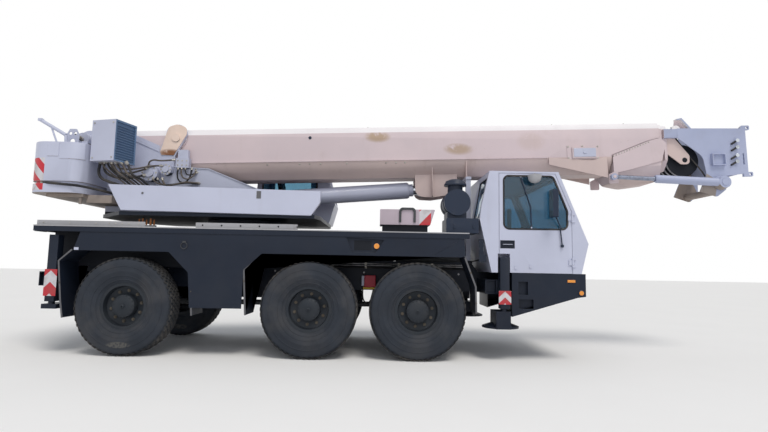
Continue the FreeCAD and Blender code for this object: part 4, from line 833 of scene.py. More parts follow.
def stripePaint(name, pitch, slope, offset):  # diagonal red and white
    f = Finish(name, Roughness=0.4)
    band = ((f.z + f.x * slope) / pitch + offset).fraction()
    colour = f.mix((0.62, 0.61, 0.64), (0.55, 0.02, 0.035), band > 0.5)
    dirt = f.noise(6.0, 5.0).smooth(0.45, 0.8)
    return f.surface(Base_Color=f.mix(colour, (0.2, 0.15, 0.12), dirt * 0.5), Roughness=0.42 + dirt * 0.3)


def treadPaint(name):  # raised lozenges on the deck
    f = Finish(name, Specular_IOR_Level=0.5)
    one = (f.x * 70.0 + f.y * 70.0).sine()
    two = (f.x * 70.0 - f.y * 70.0).sine()
    raised = (one * two).smooth(0.55, 0.8)
    worn = f.noise(1.4, 5.0).smooth(0.4, 0.7)
    colour = f.mix((0.022, 0.026, 0.036), (0.11, 0.095, 0.08), worn * 0.6)
    colour = f.mix(colour, (0.20, 0.19, 0.18), raised * 0.35)
    return f.surface(Base_Color=colour, Roughness=0.5 + worn * 0.2, Normal=f.bump(raised, 0.6, 0.004))


tailStripes = stripePaint("tail_stripes", 0.30, 1.0, 0.42)
boxStripes = stripePaint("box_stripes", 0.40, -1.05, 0.20)
deckTread = treadPaint("deck_tread")


def addCarrier():
    dark = paintOf["dark"]
    for node in ("chassis_frame", "side_panels", "mudguards", "axle_beams", "bumper"):
        piece = refined(node, "carrier", dark, 0.004)
        if node == "chassis_frame":
            recolour(piece, [], [
                (paintOf["white"], lambda c, n: between(c.x - shift, 0.80, 0.96) and c.z > 1.56),
            ])
    deck = refined("deck", "carrier", dark, 0.003)
    recolour(deck, [], [
        (deckTread, lambda c, n: n.z > 0.9 and between(c.z, 1.94, 1.96)),
        (paintOf["rail"], lambda c, n: c.z > 1.951 and abs(c.y) > 1.2),
    ])
    engine = refined("engine_block", "carrier", paintOf["engine"], 0.02, 3)
    for where in ("front", "middle"):
        for side in ("right", "left"):
            name = "knuckle_%s_%s" % (where, side)
            refined(name, name, dark, 0.003)
    for corner, centre in markerCentres.items():
        beam = refined("outrigger_beam_" + corner, "beam_" + corner, dark, 0.004)
        heights = [vertex.co.z for vertex in beam.data.vertices if abs(vertex.co.y) > 1.2645]
        marker = markerPaint("marker_" + corner, centre, min(heights), max(heights))
        recolour(beam, [], [(marker, lambda c, n: abs(c.y) > 1.2645)])
        refined("outrigger_foot_" + corner, "foot_" + corner, dark, 0.004)


def addCab():
    white = paintOf["white"]
    lowCab = [((0, 0, 1.632), (0, 0, 1))]
    shell = refined("cab_shell", "carrier", white, 0.006, 3)
    for side in ("right", "left"):
        door = refined("door_" + side, "door_" + side, white, 0.004, 3)
        recolour(door, [((0, 0, 2.060), (0, 0, 1)), ((0, 0, 2.835), (0, 0, 1))], [
            (blackPlastic, lambda c, n: between(c.x - shift, 1.50, 1.85) and between(c.z, 2.065, 2.83)),
            (paintOf["dark"], lambda c, n: between(c.x - shift, 1.261, 1.488) and between(c.z, 1.720, 1.847)
             and between(abs(c.y), 1.225, 1.262)),
        ])
        mirror = refined("mirror_" + side, "door_" + side, blackPlastic, 0.008, 3)
        recolour(mirror, [], [(mirrorGlass, lambda c, n: n.x < -0.95 and between(c.z, 2.22, 2.62)),
                              (paintOf["rail"], lambda c, n: c.z > 2.70 and c.x - shift < 2.02)])
    refined("dashboard", "carrier", blackPlastic, 0.006)
    lamps = refined("lamps", "carrier", amberLens, 0.004)
    recolour(lamps, [], [
        (clearLens, lambda c, n: c.x - shift > 2.56),
        (redLens, lambda c, n: c.x - shift < -5.8),
    ])
    filterPiece = refined("air_filter", "carrier", blackPlastic, 0.006, 3)
    box = refined("deck_box", "carrier", paintOf["box"], 0.006, 3)
    recolour(box, [(row(0.018, 0, 2.17), (1, 0, 0.0)), (row(0.200, 0, 2.17), (1, 0, 0))], [
        # the box's base band below 2.061 takes the dark paint, which also stands as painted shadow under the box
        (dark2, lambda c, n: c.z < 2.061),
        (paintOf["engine"], lambda c, n: c.y < -1.1815),
        (boxStripes, lambda c, n: n.y < -0.9 and between(c.x - shift, 0.018, 0.200) and c.z > 2.061
         and between(c.y, -1.1815, -1.17)),
    ])


def addUpper():
    white = paintOf["white"]
    table = refined("turntable", "superstructure", white, 0.005)
    recolour(table, [((0, 0, 2.245), (0, 0, 1))], [
        (paintOf["cream"], lambda c, n: between(abs(c.y), 0.4552, 0.4705) and c.z > 3.236
         and between(c.x - shift, -4.42, -3.93)),
        (paintOf["cream"], lambda c, n: abs(c.y) > 0.4704 and math.hypot(c.x - shift - footPin[0], c.z - footPin[1]) < 0.09),
        # painted shade: the drum below 2.245 and the downward faces take the dark carrier paint for the shadow under
        # the fairing
        (paintOf["dark"], lambda c, n: c.z < 2.245 or n.z < -0.5),
    ])
    tail = refined("counterweight", "superstructure", white, 0.010, 3)
    recolour(tail, [(row(-5.851, 0, 0), (1, 0, 0)), ((0, 0, 2.497), (0, 0, 1)), ((0, 0, 2.445), (0, 0, 1)),
                    ((0, 0, 3.004), (0, 0, 1))], [
        (tailStripes, lambda c, n: c.x - shift < -5.851 and between(c.z, 2.497, 3.004) and abs(n.z) < 0.3
         and abs(c.y) > 0.86),
        # painted shade with grime: the counterweight's lowest band and downward faces take the grime paint
        (paintOf["grime"], lambda c, n: c.z < 2.445 or n.z < -0.7),
    ])
    refined("winch", "superstructure", white, 0.004)
    cooler = refined("cooler_box", "superstructure", white, 0.006)
    faceWay = Vector((math.cos(math.radians(-15)), math.sin(math.radians(-15)), 0))
    corner = row(-4.780, -1.210, 3.0)
    recolour(cooler, [], [(paintOf["slate"], lambda c, n: (c - corner).dot(faceWay) > -0.0285 and n.z > -2)])
    refined("fairings", "superstructure", white, 0.008, 3)
    refined("operator_cab", "superstructure", white, 0.006, 3)
    refined("operator_door", "operator_door", white, 0.006, 3)
    refined("luff_barrel", "luff_barrel", white, 0.004)
    refined("luff_rod", "luff_rod", chromeSteel, 0.003)


def addBoom():
    shell = paintOf["boom"]

    # the lower shell, which takes the darker warm paint as painted shade
    def shadedLowShell(c, n):
        along, side, up = inBoom(c)
        return up < -0.4385 and n.z < 0.2

    # the faces above the web, which take the lighter paint as a painted highlight
    def highlightTopStrip(c, n):
        along, side, up = inBoom(c)
        return up > 0.066

    def web(c, n):
        along, side, up = inBoom(c)
        return between(up, -0.4385, 0.066)

    for node, body in (("boom_base", "boom"), ("boom_section_2", "boom_section_2"), ("boom_head", "boom_head")):
        piece = refined(node, body, shell, 0.005)
        regions = [(paintOf["top"], highlightTopStrip), (paintOf["peach"], shadedLowShell)]
        if node == "boom_head":
            regions = [(paintOf["top"], highlightTopStrip),
                       (paintOf["steel blue"], lambda c, n: inBoom(c)[0] > 8.55 and inBoom(c)[2] < 0.066),
                       # painted shade: the head's downward faces and its inner faces between the side plates take the
                       # darker warm paint
                       (paintOf["peach"], lambda c, n: between(inBoom(c)[0], 7.55, 8.45) and inBoom(c)[2] < -0.70
                        and n.z < -0.5),
                       (paintOf["peach"], lambda c, n: abs(inBoom(c)[1]) < 0.345 and between(inBoom(c)[0], 8.58, 8.98)
                        and inBoom(c)[2] < -0.04),
                       # painted shade with grime on the head's lowest faces
                       (paintOf["grime"], lambda c, n: between(inBoom(c)[0], 9.05, 9.35) and inBoom(c)[2] < -0.95)]
        recolour(piece, [], regions)
    sheaves = refined("head_sheaves", "boom_head", dark2, 0.002)
    recolour(sheaves, [], [(bareSteel, lambda c, n: math.hypot(inBoom(c)[0] - 8.870, inBoom(c)[2] + 0.500) > 0.262)])
    jib = refined("jib_cylinder", "boom_head", paintOf["steel blue"], 0.003)

    def chromePart(c, n):
        along, side, up = inBoom(c)
        away = Vector((along - 7.530, up + 0.802))
        way = Vector((9.410 - 7.530, -0.930 + 0.802)).normalized()
        reach = away.dot(way)
        return between(reach, 0.056, 0.70) and abs(away.x * way.y - away.y * way.x) < 0.039

    # the rod takes the blue-tinted chrome, a painted reflection
    recolour(jib, [], [(reflectionTintedChrome, chromePart),
                       # painted shade with grime on the downward faces at the jib's tip
                       (paintOf["grime"], lambda c, n: inBoom(c)[0] > 9.27 and n.z < -0.45)])


addCarrier()
addCab()
addUpper()
addBoom()
print("solids refined")


# Seats: cushions blown up as cloth inside the space of their solids, on rigid stands
def padForm(size, corner, voxel, cap, quick):
    bm = bmesh.new()
    bmesh.ops.create_cube(bm, size=1.0, matrix=Matrix.Diagonal((*size, 1.0)))
    bmesh.ops.bevel(bm, geom=bm.edges[:], offset=corner, segments=4, affect="EDGES", profile=0.6)
    base = meshFrom(bm, "pad_base")
    piece = bpy.data.objects.new("pad_base", base)
    bpy.context.scene.collection.objects.link(piece)
    remesh = piece.modifiers.new("remesh", "REMESH")
    remesh.mode = "VOXEL"
    remesh.voxel_size = voxel
    bpy.context.view_layer.update()
    start = bpy.data.meshes.new_from_object(piece.evaluated_get(bpy.context.evaluated_depsgraph_get()))
    bpy.data.objects.remove(piece)
    grown = None
    if not quick:
        piece = bpy.data.objects.new("pad_cloth", start)
        bpy.context.scene.collection.objects.link(piece)
        cloth = piece.modifiers.new("cloth", "CLOTH")
        cloth.settings.use_pressure = True
        cloth.settings.uniform_pressure_force = 4.0
        cloth.settings.effector_weights.gravity = 0.0
        cloth.settings.quality = 4
        cloth.settings.mass = 0.3
        cloth.collision_settings.use_collision = False
        cloth.point_cache.frame_end = 20
        for step in range(1, 21):
            bpy.context.scene.frame_set(step)
        grown = bpy.data.meshes.new_from_object(piece.evaluated_get(bpy.context.evaluated_depsgraph_get()))
        bpy.data.objects.remove(piece)
        bpy.context.scene.frame_set(1)
    for i, vertex in enumerate(start.vertices):
        spot = vertex.co
        half = Vector(size) / 2
        if grown:
            move = grown.vertices[i].co - spot
            if move.length > cap:
                move = move.normalized() * cap
        else:
            crown = max(0.0, 1 - (spot.x / half.x) ** 2) * max(0.0, 1 - (spot.y / half.y) ** 2)
            move = Vector((0, 0, math.copysign(cap * crown, spot.z)))
        vertex.co = spot + move
    return start


def pressLines(mesh, size, across, lengthwise, depth):  # sewn channels pressed into the upper face
    for vertex in mesh.vertices:
        spot = vertex.co
        if spot.z < 0:
            continue
        press = 0.0
        for line in across:
            press = max(press, math.exp(-((spot.x - line * size[0]) / 0.009) ** 2))
        for line in lengthwise:
            press = max(press, math.exp(-((spot.y - line * size[1]) / 0.009) ** 2))
        vertex.co.z -= press * depth


padLook = {
    "cushion": dict(size=(0.478, 0.456, 0.098), corner=0.034, across=(-0.2, 0.12), lengthwise=(-0.31, 0.31)),
    "back": dict(size=(0.400, 0.440, 0.078), corner=0.030, across=(-0.25, 0.0, 0.25), lengthwise=(-0.32, 0.32)),
    "head": dict(size=(0.150, 0.270, 0.070), corner=0.028, across=(), lengthwise=()),
}
padForms = {}
for label, look in padLook.items():
    made = padForm(look["size"], look["corner"], 0.008, 0.008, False)
    pressLines(made, look["size"], look["across"], look["lengthwise"], 0.007)
    padForms[label] = made
print("pads ready")


def addPad(name, form, place, body):
    mesh = padForms[form].copy()
    mesh.materials.clear()
    mesh.transform(place)
    piece = finish(name, mesh, body, seatCloth, 180.0)
    soft = piece.modifiers.new("soft", "SUBSURF")
    soft.levels = 1
    soft.render_levels = 1
    return piece


def piping(bm, size, place):  # a sewn cord round the cushion's upper edge
    outline = rounded([(-size[0] / 2, -size[1] / 2, 0.05), (size[0] / 2, -size[1] / 2, 0.05),
                       (size[0] / 2, size[1] / 2, 0.05), (-size[0] / 2, size[1] / 2, 0.05)], 6)
    rings = []
    for a, b in outline:
        out = Vector((a, b, 0)).normalized()
        ring = []
        for k in range(6):
            angle = math.pi * k / 3
            ring.append(bm.verts.new(place @ (Vector((a, b, size[2] * 0.32)) + out * 0.004 * math.cos(angle)
                                              + Vector((0, 0, 0.004 * math.sin(angle))))))
        rings.append(ring)
    for i in range(len(rings)):
        first, second = rings[i], rings[(i + 1) % len(rings)]
        for k in range(6):
            bm.faces.new((first[k], second[k], second[(k + 1) % 6], first[(k + 1) % 6]))


def addSeat(label, middle, low, cushionHeight, body, node, backTop, backFoot):
    # middle: cushion's centre x and y; backFoot and backTop: the back's middle line (x, z)
    x, y = middle
    cushion = Matrix.Translation(row(x, y, cushionHeight))
    way = Vector((backTop[0] - backFoot[0], 0, backTop[1] - backFoot[1])).normalized()
    ahead = Vector((way.z, 0, -way.x))
    turn = Matrix((way, Vector((0, -1, 0)), ahead)).transposed()
    if turn.determinant() < 0:
        turn = Matrix((way, Vector((0, 1, 0)), ahead)).transposed()
    turn = turn.to_4x4()
    foot = row(backFoot[0], y, backFoot[1])
    back = Matrix.Translation(foot + way * 0.215) @ turn
    head = Matrix.Translation(foot + way * 0.530) @ turn
    addPad("cushion_" + label, "cushion", cushion, body)
    addPad("back_" + label, "back", back, body)
    addPad("headrest_" + label, "head", head, body)
    bm = bmesh.new()
    piping(bm, padLook["cushion"]["size"], cushion)
    piping(bm, padLook["back"]["size"], back)
    cords = meshFrom(bm, "cords")
    cords.materials.append(hoseRubber)
    bm = bmesh.new()
    base = cushionHeight - 0.058
    for side in (-1, 1):
        boxInto(bm, row(x - 0.20, y + side * 0.17 - 0.015, low), row(x + 0.18, y + side * 0.17 + 0.015, low + 0.03))
        rodInto(bm, foot + way * 0.40 + Vector((0, side * 0.07, 0)) - ahead * 0.006,
                foot + way * 0.49 + Vector((0, side * 0.07, 0)) - ahead * 0.006, 0.007, 10)
    boxInto(bm, row(x - 0.22, y - 0.19, base - 0.035), row(x + 0.22, y + 0.19, base))
    folds = 6
    for i in range(folds):
        z0 = low + 0.03 + (base - 0.035 - low - 0.03) * i / folds
        z1 = low + 0.03 + (base - 0.035 - low - 0.03) * (i + 1) / folds
        for half, a, b in ((0.150, z0, (z0 + z1) / 2), (0.128, (z0 + z1) / 2, z1)):
            boxInto(bm, row(x - half, y - half + 0.01, a), row(x + half - 0.01, y + half - 0.01, b))
    stand = meshFrom(bm, "stand")
    stand.materials.append(blackPlastic)
    piece = finish("stand_" + label, joined("stand", [stand, cords]), body, blackPlastic, 35.0, 0.004)
    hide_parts(node)


addSeat("driver", (1.580, 0.720), 1.4005, 1.760, "carrier", "seats", (1.280, 2.400), (1.385, 1.835))
addSeat("passenger", (1.580, -0.720), 1.4005, 1.760, "carrier", "seats", (1.280, 2.400), (1.385, 1.835))
addSeat("operator", (-2.310, 0.870), 2.2358, 2.620, "superstructure", "operator_seat", (-2.615, 3.250), (-2.507, 2.690))
print("seats ready")


# Window seals, wipers, headlamp rings, lamp frames
doorWindow = [(1.327, 2.850, 0.07), (2.090, 2.850, 0.07), (2.303, 2.308, 0.09), (2.303, 2.036, 0.08),
              (1.327, 2.030, 0.08)]
sealLook = dict(outside=0.020, inside=0.006, proud=0.004)
screenWay = Vector((0.4500, 0, -1.118)).normalized()
screenOut = Vector((-screenWay.z, 0, screenWay.x))
screenPlace = Matrix.Translation(row(2.630, 0, 1.812)) @ Matrix((Vector((0, 1, 0)), -screenWay,
                                                                   screenOut)).transposed().to_4x4()


def addSeals(look):
    for sideName, side in (("right", -1), ("left", 1)):
        bm = bmesh.new()
        rimInto(bm, doorWindow, look["outside"], look["inside"], -0.012, look["proud"], sidePlace(1.250, side))
        finish("door_seal_" + sideName, meshFrom(bm, "seal"), "door_" + sideName, hoseRubber, 40.0)
    bm = bmesh.new()
    opening = [(-1.150, 0.121, 0.05), (1.150, 0.121, 0.05), (1.150, 1.121, 0.06), (-1.150, 1.121, 0.06)]
    rimInto(bm, opening, 0.030, 0.030, -0.010, 0.005, screenPlace)
    backWay = Vector((0.113, 0, 0.630)).normalized()
    for side in (-1, 1):
        pane = [(0.560, 2.200, 0.03), (1.180, 2.200, 0.03), (1.180, 2.830, 0.03), (0.560, 2.830, 0.03)]
        turned = Matrix((Vector((0, side, 0)), backWay, Vector((0, side, 0)).cross(backWay))).transposed().to_4x4()
        flat = [(a, (b - 2.200) / backWay.z, r) for a, b, r in pane]
        rimInto(bm, flat, 0.010, 0.012, -0.008, 0.008, Matrix.Translation(row(0.985, 0, 2.200)) @ turned)
    finish("cab_seals", meshFrom(bm, "cab_seals"), "carrier", hoseRubber, 40.0)
    bm = bmesh.new()
    crane = [(-2.830, 2.790, 0.04), (-1.812, 2.790, 0.04), (-1.832, 3.490, 0.04), (-2.790, 3.510, 0.04)]
    rimInto(bm, crane, 0.022, 0.008, -0.006, 0.006, Matrix.Translation((shift, 0.480, 0))
            @ Matrix(((1, 0, 0), (0, 0, -1), (0, 1, 0))).to_4x4())
    finish("crane_cab_seal", meshFrom(bm, "crane_cab_seal"), "superstructure", hoseRubber, 40.0)
    bm = bmesh.new()
    leaf = [(-2.780, 2.800, 0.04), (-2.020, 2.800, 0.04), (-2.020, 3.470, 0.04), (-2.750, 3.490, 0.04)]
    rimInto(bm, leaf, 0.020, 0.008, -0.010, 0.005, sidePlace(1.251, 1))
    finish("crane_door_seal", meshFrom(bm, "crane_door_seal"), "operator_door", hoseRubber, 40.0)


addSeals(sealLook)


def addWipers():
    bm = bmesh.new()
    for foot, tip, low, high in (((-0.80, 0.06), (-0.36, 0.36), (-0.66, 0.30), (-0.04, 0.42)),
                                 ((0.10, 0.06), (0.54, 0.36), (0.24, 0.30), (0.86, 0.42))):
        a = screenPlace @ Vector((*foot, 0.006))
        b = screenPlace @ Vector((*tip, 0.018))
        rodInto(bm, a, screenPlace @ Vector((*foot, 0.034)), 0.016, 14)
        rodInto(bm, screenPlace @ Vector((*foot, 0.026)), b, 0.007, 10)
        rodInto(bm, screenPlace @ Vector((*low, 0.010)), screenPlace @ Vector((*high, 0.010)), 0.006, 8)
        rodInto(bm, screenPlace @ Vector((*low, -0.001)), screenPlace @ Vector((*high, -0.001)), 0.0035, 6)
    finish("wipers", meshFrom(bm, "wipers"), "carrier", blackPlastic, 40.0)


addWipers()


def lampFronts(bm, side):
    for y in (0.960, 1.080):
        place = Matrix.Translation(row(2.602, side * y, 1.145)) @ Matrix.Rotation(math.radians(90), 4, "Y")
        rings = turnedInto(bm, [(0.054, 0.0), (0.054, 0.012), (0.048, 0.016), (0.043, 0.010), (0.0435, 0.004)], 28,
                           place)
        bm.faces.new(rings[-1])


kit("headlamp_rings", "carrier", chromeSteel, both=True, extra=lampFronts, bevel=0.0)


def lampFrames(bm, side):
    for x, out, y0, y1, z0, z1 in ((2.5755, 0.036, 0.900, 1.140, 1.060, 1.230), (-5.890, 0.036, 1.000, 1.240, 1.865, 1.937)):
        turned = Matrix((Vector((0, 1, 0)), Vector((0, 0, 1)), Vector((1, 0, 0)))).transposed().to_4x4()
        pane = [(min(side * y0, side * y1), z0, 0.012), (max(side * y0, side * y1), z0, 0.012),
                (max(side * y0, side * y1), z1, 0.012), (min(side * y0, side * y1), z1, 0.012)]
        rimInto(bm, pane, 0.016, -0.0005, 0.0, out, Matrix.Translation((x + shift, 0, 0)) @ turned)
    for x, z, radius, skin in ((2.499, 1.060, 0.034, 1.2502), (-0.640, 1.716, 0.042, 1.2630)):
        place = Matrix.Translation(row(x, side * skin, z)) @ Matrix.Rotation(math.radians(-90 * side), 4, "X")
        turnedInto(bm, [(radius + 0.0006, 0.0), (radius + 0.012, 0.0), (radius + 0.012, 0.008), (radius + 0.004, 0.014),
                        (radius + 0.0006, 0.014), (radius + 0.0006, 0.0)], 28, place)


kit("lamp_frames", "carrier", blackPlastic, both=True, extra=lampFrames, bevel=0.0)
print("cab fittings ready")

# Small fittings of the carrier: boxes and rods, measured from the front axle
kit("deck_trim", "carrier", paintOf["rail"], both=True, bevel=0.0015, boxes=[
    ((-5.858, -1.3165, 1.929), (0.778, -1.3118, 1.9455)), ((-5.8655, -1.3118, 1.929), (-5.860, 0.0, 1.9455))])


def panelRings(bm, side):
    ringInto(bm, row(-3.565, side * 1.312, 1.668), (0, 1, 0), 0.048, 0.006)


kit("panel_handles", "carrier", paintOf["engine"], both=True, extra=panelRings, boxes=[
    ((-3.590, -1.318, 1.712), (-3.540, -1.300, 1.738))], rods=[((-3.565, -1.300, 1.720), (-3.565, -1.322, 1.720), 0.010)])
kit("panel_creases", "carrier", paintOf["dark"], both=True, bevel=0.0, rods=[
    ((0.588, -1.3000, 1.803), (0.222, -1.3000, 1.590), 0.0045), ((-0.522, -1.2995, 1.811), (-0.654, -1.2995, 1.612), 0.004),
    ((-1.109, -1.2995, 1.846), (-1.012, -1.2995, 1.620), 0.003)])
kit("recess_covers", "carrier", paintOf["base"], both=True, bevel=0.006, boxes=[
    ((-0.985, -1.2660, 1.650), (-0.720, -1.2625, 1.800))])
kit("edge_reflectors", "carrier", paintOf["white"], both=True, bevel=0.001, boxes=[
    ((-5.228, -1.3040, 1.573), (-5.160, -1.3000, 1.612))])
kit("guard_panel", "carrier", paintOf["dark"], both=True, rods=[
    ((0.975, -1.235, 1.545), (0.940, -0.555, 1.512), 0.012)], boxes=[
    ((0.935, -1.250, 1.505), (1.052, -1.238, 1.628)), ((0.935, -1.250, 1.628), (1.008, -1.238, 1.856))])
kit("red_canister", "carrier", paintOf["red"], bevel=0.012, boxes=[
    ((-0.838, -0.610, 1.062), (-0.648, -0.500, 1.258))])
kit("canister_cap", "carrier", paintOf["white"], bevel=0.008, boxes=[
    ((-0.882, -0.600, 1.080), (-0.838, -0.510, 1.250)), ((-0.770, -0.500, 1.120), (-0.720, -0.430, 1.190))])
kit("canister_foot", "carrier", yellowPaint, bevel=0.006, boxes=[
    ((-0.860, -0.615, 1.030), (-0.648, -0.495, 1.0615))])
couplings = [(-4.415, 0.014, 2.085), (-4.360, 0.017, 2.095), (-4.300, 0.013, 2.075), (-4.235, 0.018, 2.095),
             (-4.180, 0.013, 2.080)]
kit("hose_couplings", "carrier", orangePaint, bevel=0.002, boxes=[], rods=[
    ((x, -1.000, 1.985), (x, -1.000, top), radius, radius * 0.8) for x, radius, top in couplings])
kit("coupling_rail", "carrier", bareSteel, boxes=[((-4.445, -1.030, 1.944), (-4.150, -0.970, 1.990))])


def guardLips(bm, side):
    place = sidePlace(1.2915, side)
    for path in ([(0.714, 1.565), (0.878, 1.127), (0.887, 0.725)], [(-2.420, 1.566), (-2.648, 1.325), (-2.600, 0.640)],
                 [(-5.334, 0.556), (-5.379, 0.819), (-5.450, 1.406), (-5.262, 1.578)],
                 [(-3.745, 1.560), (-3.456, 1.271), (-3.405, 0.620)]):
        inward = 1 if path[0][0] > -1 or path[0][0] < -4 else -1
        left = []
        right = []
        for i, spot in enumerate(path):
            before = Vector(path[max(0, i - 1)])
            after = Vector(path[min(len(path) - 1, i + 1)])
            way = (after - before).normalized()
            across = Vector((-way.y, way.x)) * 0.013
            left.append(tuple(Vector(spot) + across))
            right.append(tuple(Vector(spot) - across))
        plateInto(bm, left + right[::-1], 0.005, place)


kit("guard_lips", "carrier", greyPlastic, both=True, extra=guardLips, bevel=0.0015)

# Drive shafts under the frame, pipes along it
shaftLook = dict(radius=0.045, flange=0.085, spans=((-0.19, -1.46), (-1.84, -4.25)))


def addShafts(look):
    rods = []
    for start, end in look["spans"]:
        rods.append(((start, 0, 0.740), (end, 0, 0.740), look["radius"]))
        for x, way in ((start, -1), (end, 1)):
            rods.append(((x, 0, 0.740), (x + way * 0.022, 0, 0.740), look["flange"]))
            rods.append(((x + way * 0.06, 0, 0.700), (x + way * 0.06, 0, 0.780), 0.028))
            rods.append(((x + way * 0.06, -0.040, 0.740), (x + way * 0.06, 0.040, 0.740), 0.028))
            rods.append(((x + way * 0.15, 0, 0.740), (x + way * 0.30, 0, 0.740), look["radius"] + 0.012))
    kit("drive_shafts", "carrier", paintOf["engine"], rods=rods, bevel=0.003)


addShafts(shaftLook)
for k, (height, reach, radius) in enumerate(((1.450, 0.446, 0.011), (1.420, 0.446, 0.011), (1.385, 0.448, 0.014))):
    tubePiece("frame_pipe_%d" % k, [row(x, -reach - 0.010 * (k % 2) * (i % 2), height)
                                    for i, x in enumerate((-5.45, -4.0, -2.9, -1.2, 0.2, 0.90))],
              radius, "carrier", hoseRubber if k == 2 else bareSteel)
clipShape = holder(meshFrom((lambda bm: (boxInto(bm, (-0.02, -0.05, 0.0), (0.02, 0.05, 0.030)), bm)[1])(bmesh.new()),
                            "clip"))
clips = stamped(clipShape, [(row(-5.3 + i * 0.56, -0.430, 1.420), (0, -1, 0)) for i in range(12)], zincSteel, 1, 0.0)
finish("pipe_clips", clips, "carrier", zincSteel, 35.0, 0.003)
tubePiece("brake_hose", [row(*p) for p in ((-0.86, -0.435, 1.05), (-0.87, -0.52, 0.93), (-0.83, -0.53, 0.80),
                                           (-0.74, -0.50, 0.80), (-0.70, -0.45, 0.95), (-0.68, -0.432, 1.06))],
          0.011, "carrier", hoseRubber)

# Bolts: (size, material, seed, body, slot, spots)
boltLists = {
    "frame_bolts": (0.012, bareSteel, "carrier", "bare_steel",
                    [(row(x, side * 0.430, z), (0, side, 0)) for side in (-1, 1) for x in (-5.35, -4.75, -4.15, -2.35, -1.95,
                     -1.25, -0.85, -0.35, 0.35, 0.75) for z in (1.06, 1.30)]),
    "panel_bolts": (0.008, dustyBolt, "carrier", "bare_steel",
                    [(row(x, side * 1.300, 1.905), (0, side, 0)) for side in (-1, 1)
                     for x in (-5.05, -4.4, -3.8, -3.2, -2.6, -2.0, -1.4, -0.2, 0.4)]),
    "guard_bolts": (0.010, dustyBolt, "carrier", "bare_steel",
                    [(row(x, side * 1.2965, z), (0, side, 0)) for side in (-1, 1)
                     for x, z in ((0.884, 0.88), (0.800, 1.335), (-2.637, 1.15), (-3.43, 0.98), (-5.410, 1.08))]),
    "rail_bolts": (0.008, zincSteel, "carrier", "bare_steel",
                   [(row(x, side * 1.2552, 1.985), (0, side, 0)) for side in (-1, 1)
                    for x in (-5.75, -5.35, -4.95, -4.75, -4.65, -4.55, -4.45, -4.30)]),
    "drive_bolts": (0.011, zincSteel, "superstructure", "bare_steel",
                    [(row(x + r * 0.82 * math.cos(i * 0.785), -0.455 - reach, z + r * 0.82 * math.sin(i * 0.785)),
                      (0, -1, 0)) for x, z, r, reach in ((-4.497, 2.906, 0.140, 0.150), (-4.239, 2.972, 0.095, 0.110))
                     for i in range(8)]),
    "valve_bolts": (0.010, zincSteel, "superstructure", "bare_steel",
                    [(row(x, -0.525, z), (0, -1, 0)) for x in (-4.06, -3.985, -3.91) for z in (3.06, 3.135)]),
    "cheek_bolts": (0.012, bareSteel, "superstructure", "bare_steel",
                    [(row(x, side * 0.455, 2.30), (0, side, 0)) for side in (-1, 1)
                     for x in (-4.9, -4.5, -4.1, -3.7, -3.3, -2.9, -2.5, -2.15)]),
    "collar_bolts": (0.012, zincSteel, "boom", "bare_steel",
                     [(boomSpot(u, side * 0.388, v), (0, side, 0)) for side in (-1, 1)
                      for u, v in ((6.80, -0.245), (6.80, -0.445), (7.315, -0.245), (7.315, -0.445), (7.05, -0.236))]),
    "head_bolts": (0.009, zincSteel, "boom_head", "bare_steel",
                   [(boomSpot(7.585 + 0.0485 * i, side * 0.396, -0.422 + 0.0183 * i), (0, side, 0)) for side in (-1, 1)
                    for i in range(14)]),
}
for label, (size, material, body, slotName, spots) in boltLists.items():
    finish(label, stamped(boltShape(size), spots, material, len(spots)), body, material, 35.0)

shellWay = boomPlace.to_3x3() @ Vector((0, -1.0, -0.9)).normalized()
studs = []
for x in (-2.567, -2.010, -1.836, -1.644, -1.191, -0.510, -0.335, -0.178):
    along = (x - footPin[0]) / math.cos(boomAngle) - 0.02
    for side in (-1, 1):
        spot = boomSpot(along, side * 0.3715, -0.475)
        studs.append((spot, (0, side * 0.98, -0.19)))
finish("shell_studs", stamped(studShape(0.016), studs, zincSteel, 5, 0.0), "boom", zincSteel, 50.0)
ringBolts = ringed(boltShape(0.014), 48, 0.690, Matrix.Translation(row(-2.95, 0, 1.986)), bareSteel)
finish("slew_bolts", ringBolts, "carrier", bareSteel, 35.0)
print("bolts ready")

# Winch rope and the lead to the boom's foot
wraps = coilTree.mesh(None, {"Count": 30, "Drum radius": 0.158, "Rope radius": 0.0095, "Pitch": 0.0205,
                             "Material": ropeSteel},
                      Matrix.Translation(row(-5.680, 0.297, 3.470)) @ Matrix.Rotation(math.radians(90), 4, "X"))
finish("winch_rope", wraps, "superstructure", ropeSteel, 60.0)
tubePiece("rope_lead", [row(-5.680, 0.05, 3.6375), row(-5.40, 0.045, 3.660), row(-5.0, 0.03, 3.698),
                        row(-4.60, 0.02, 3.736)], 0.0095, "superstructure", ropeSteel, order=2)

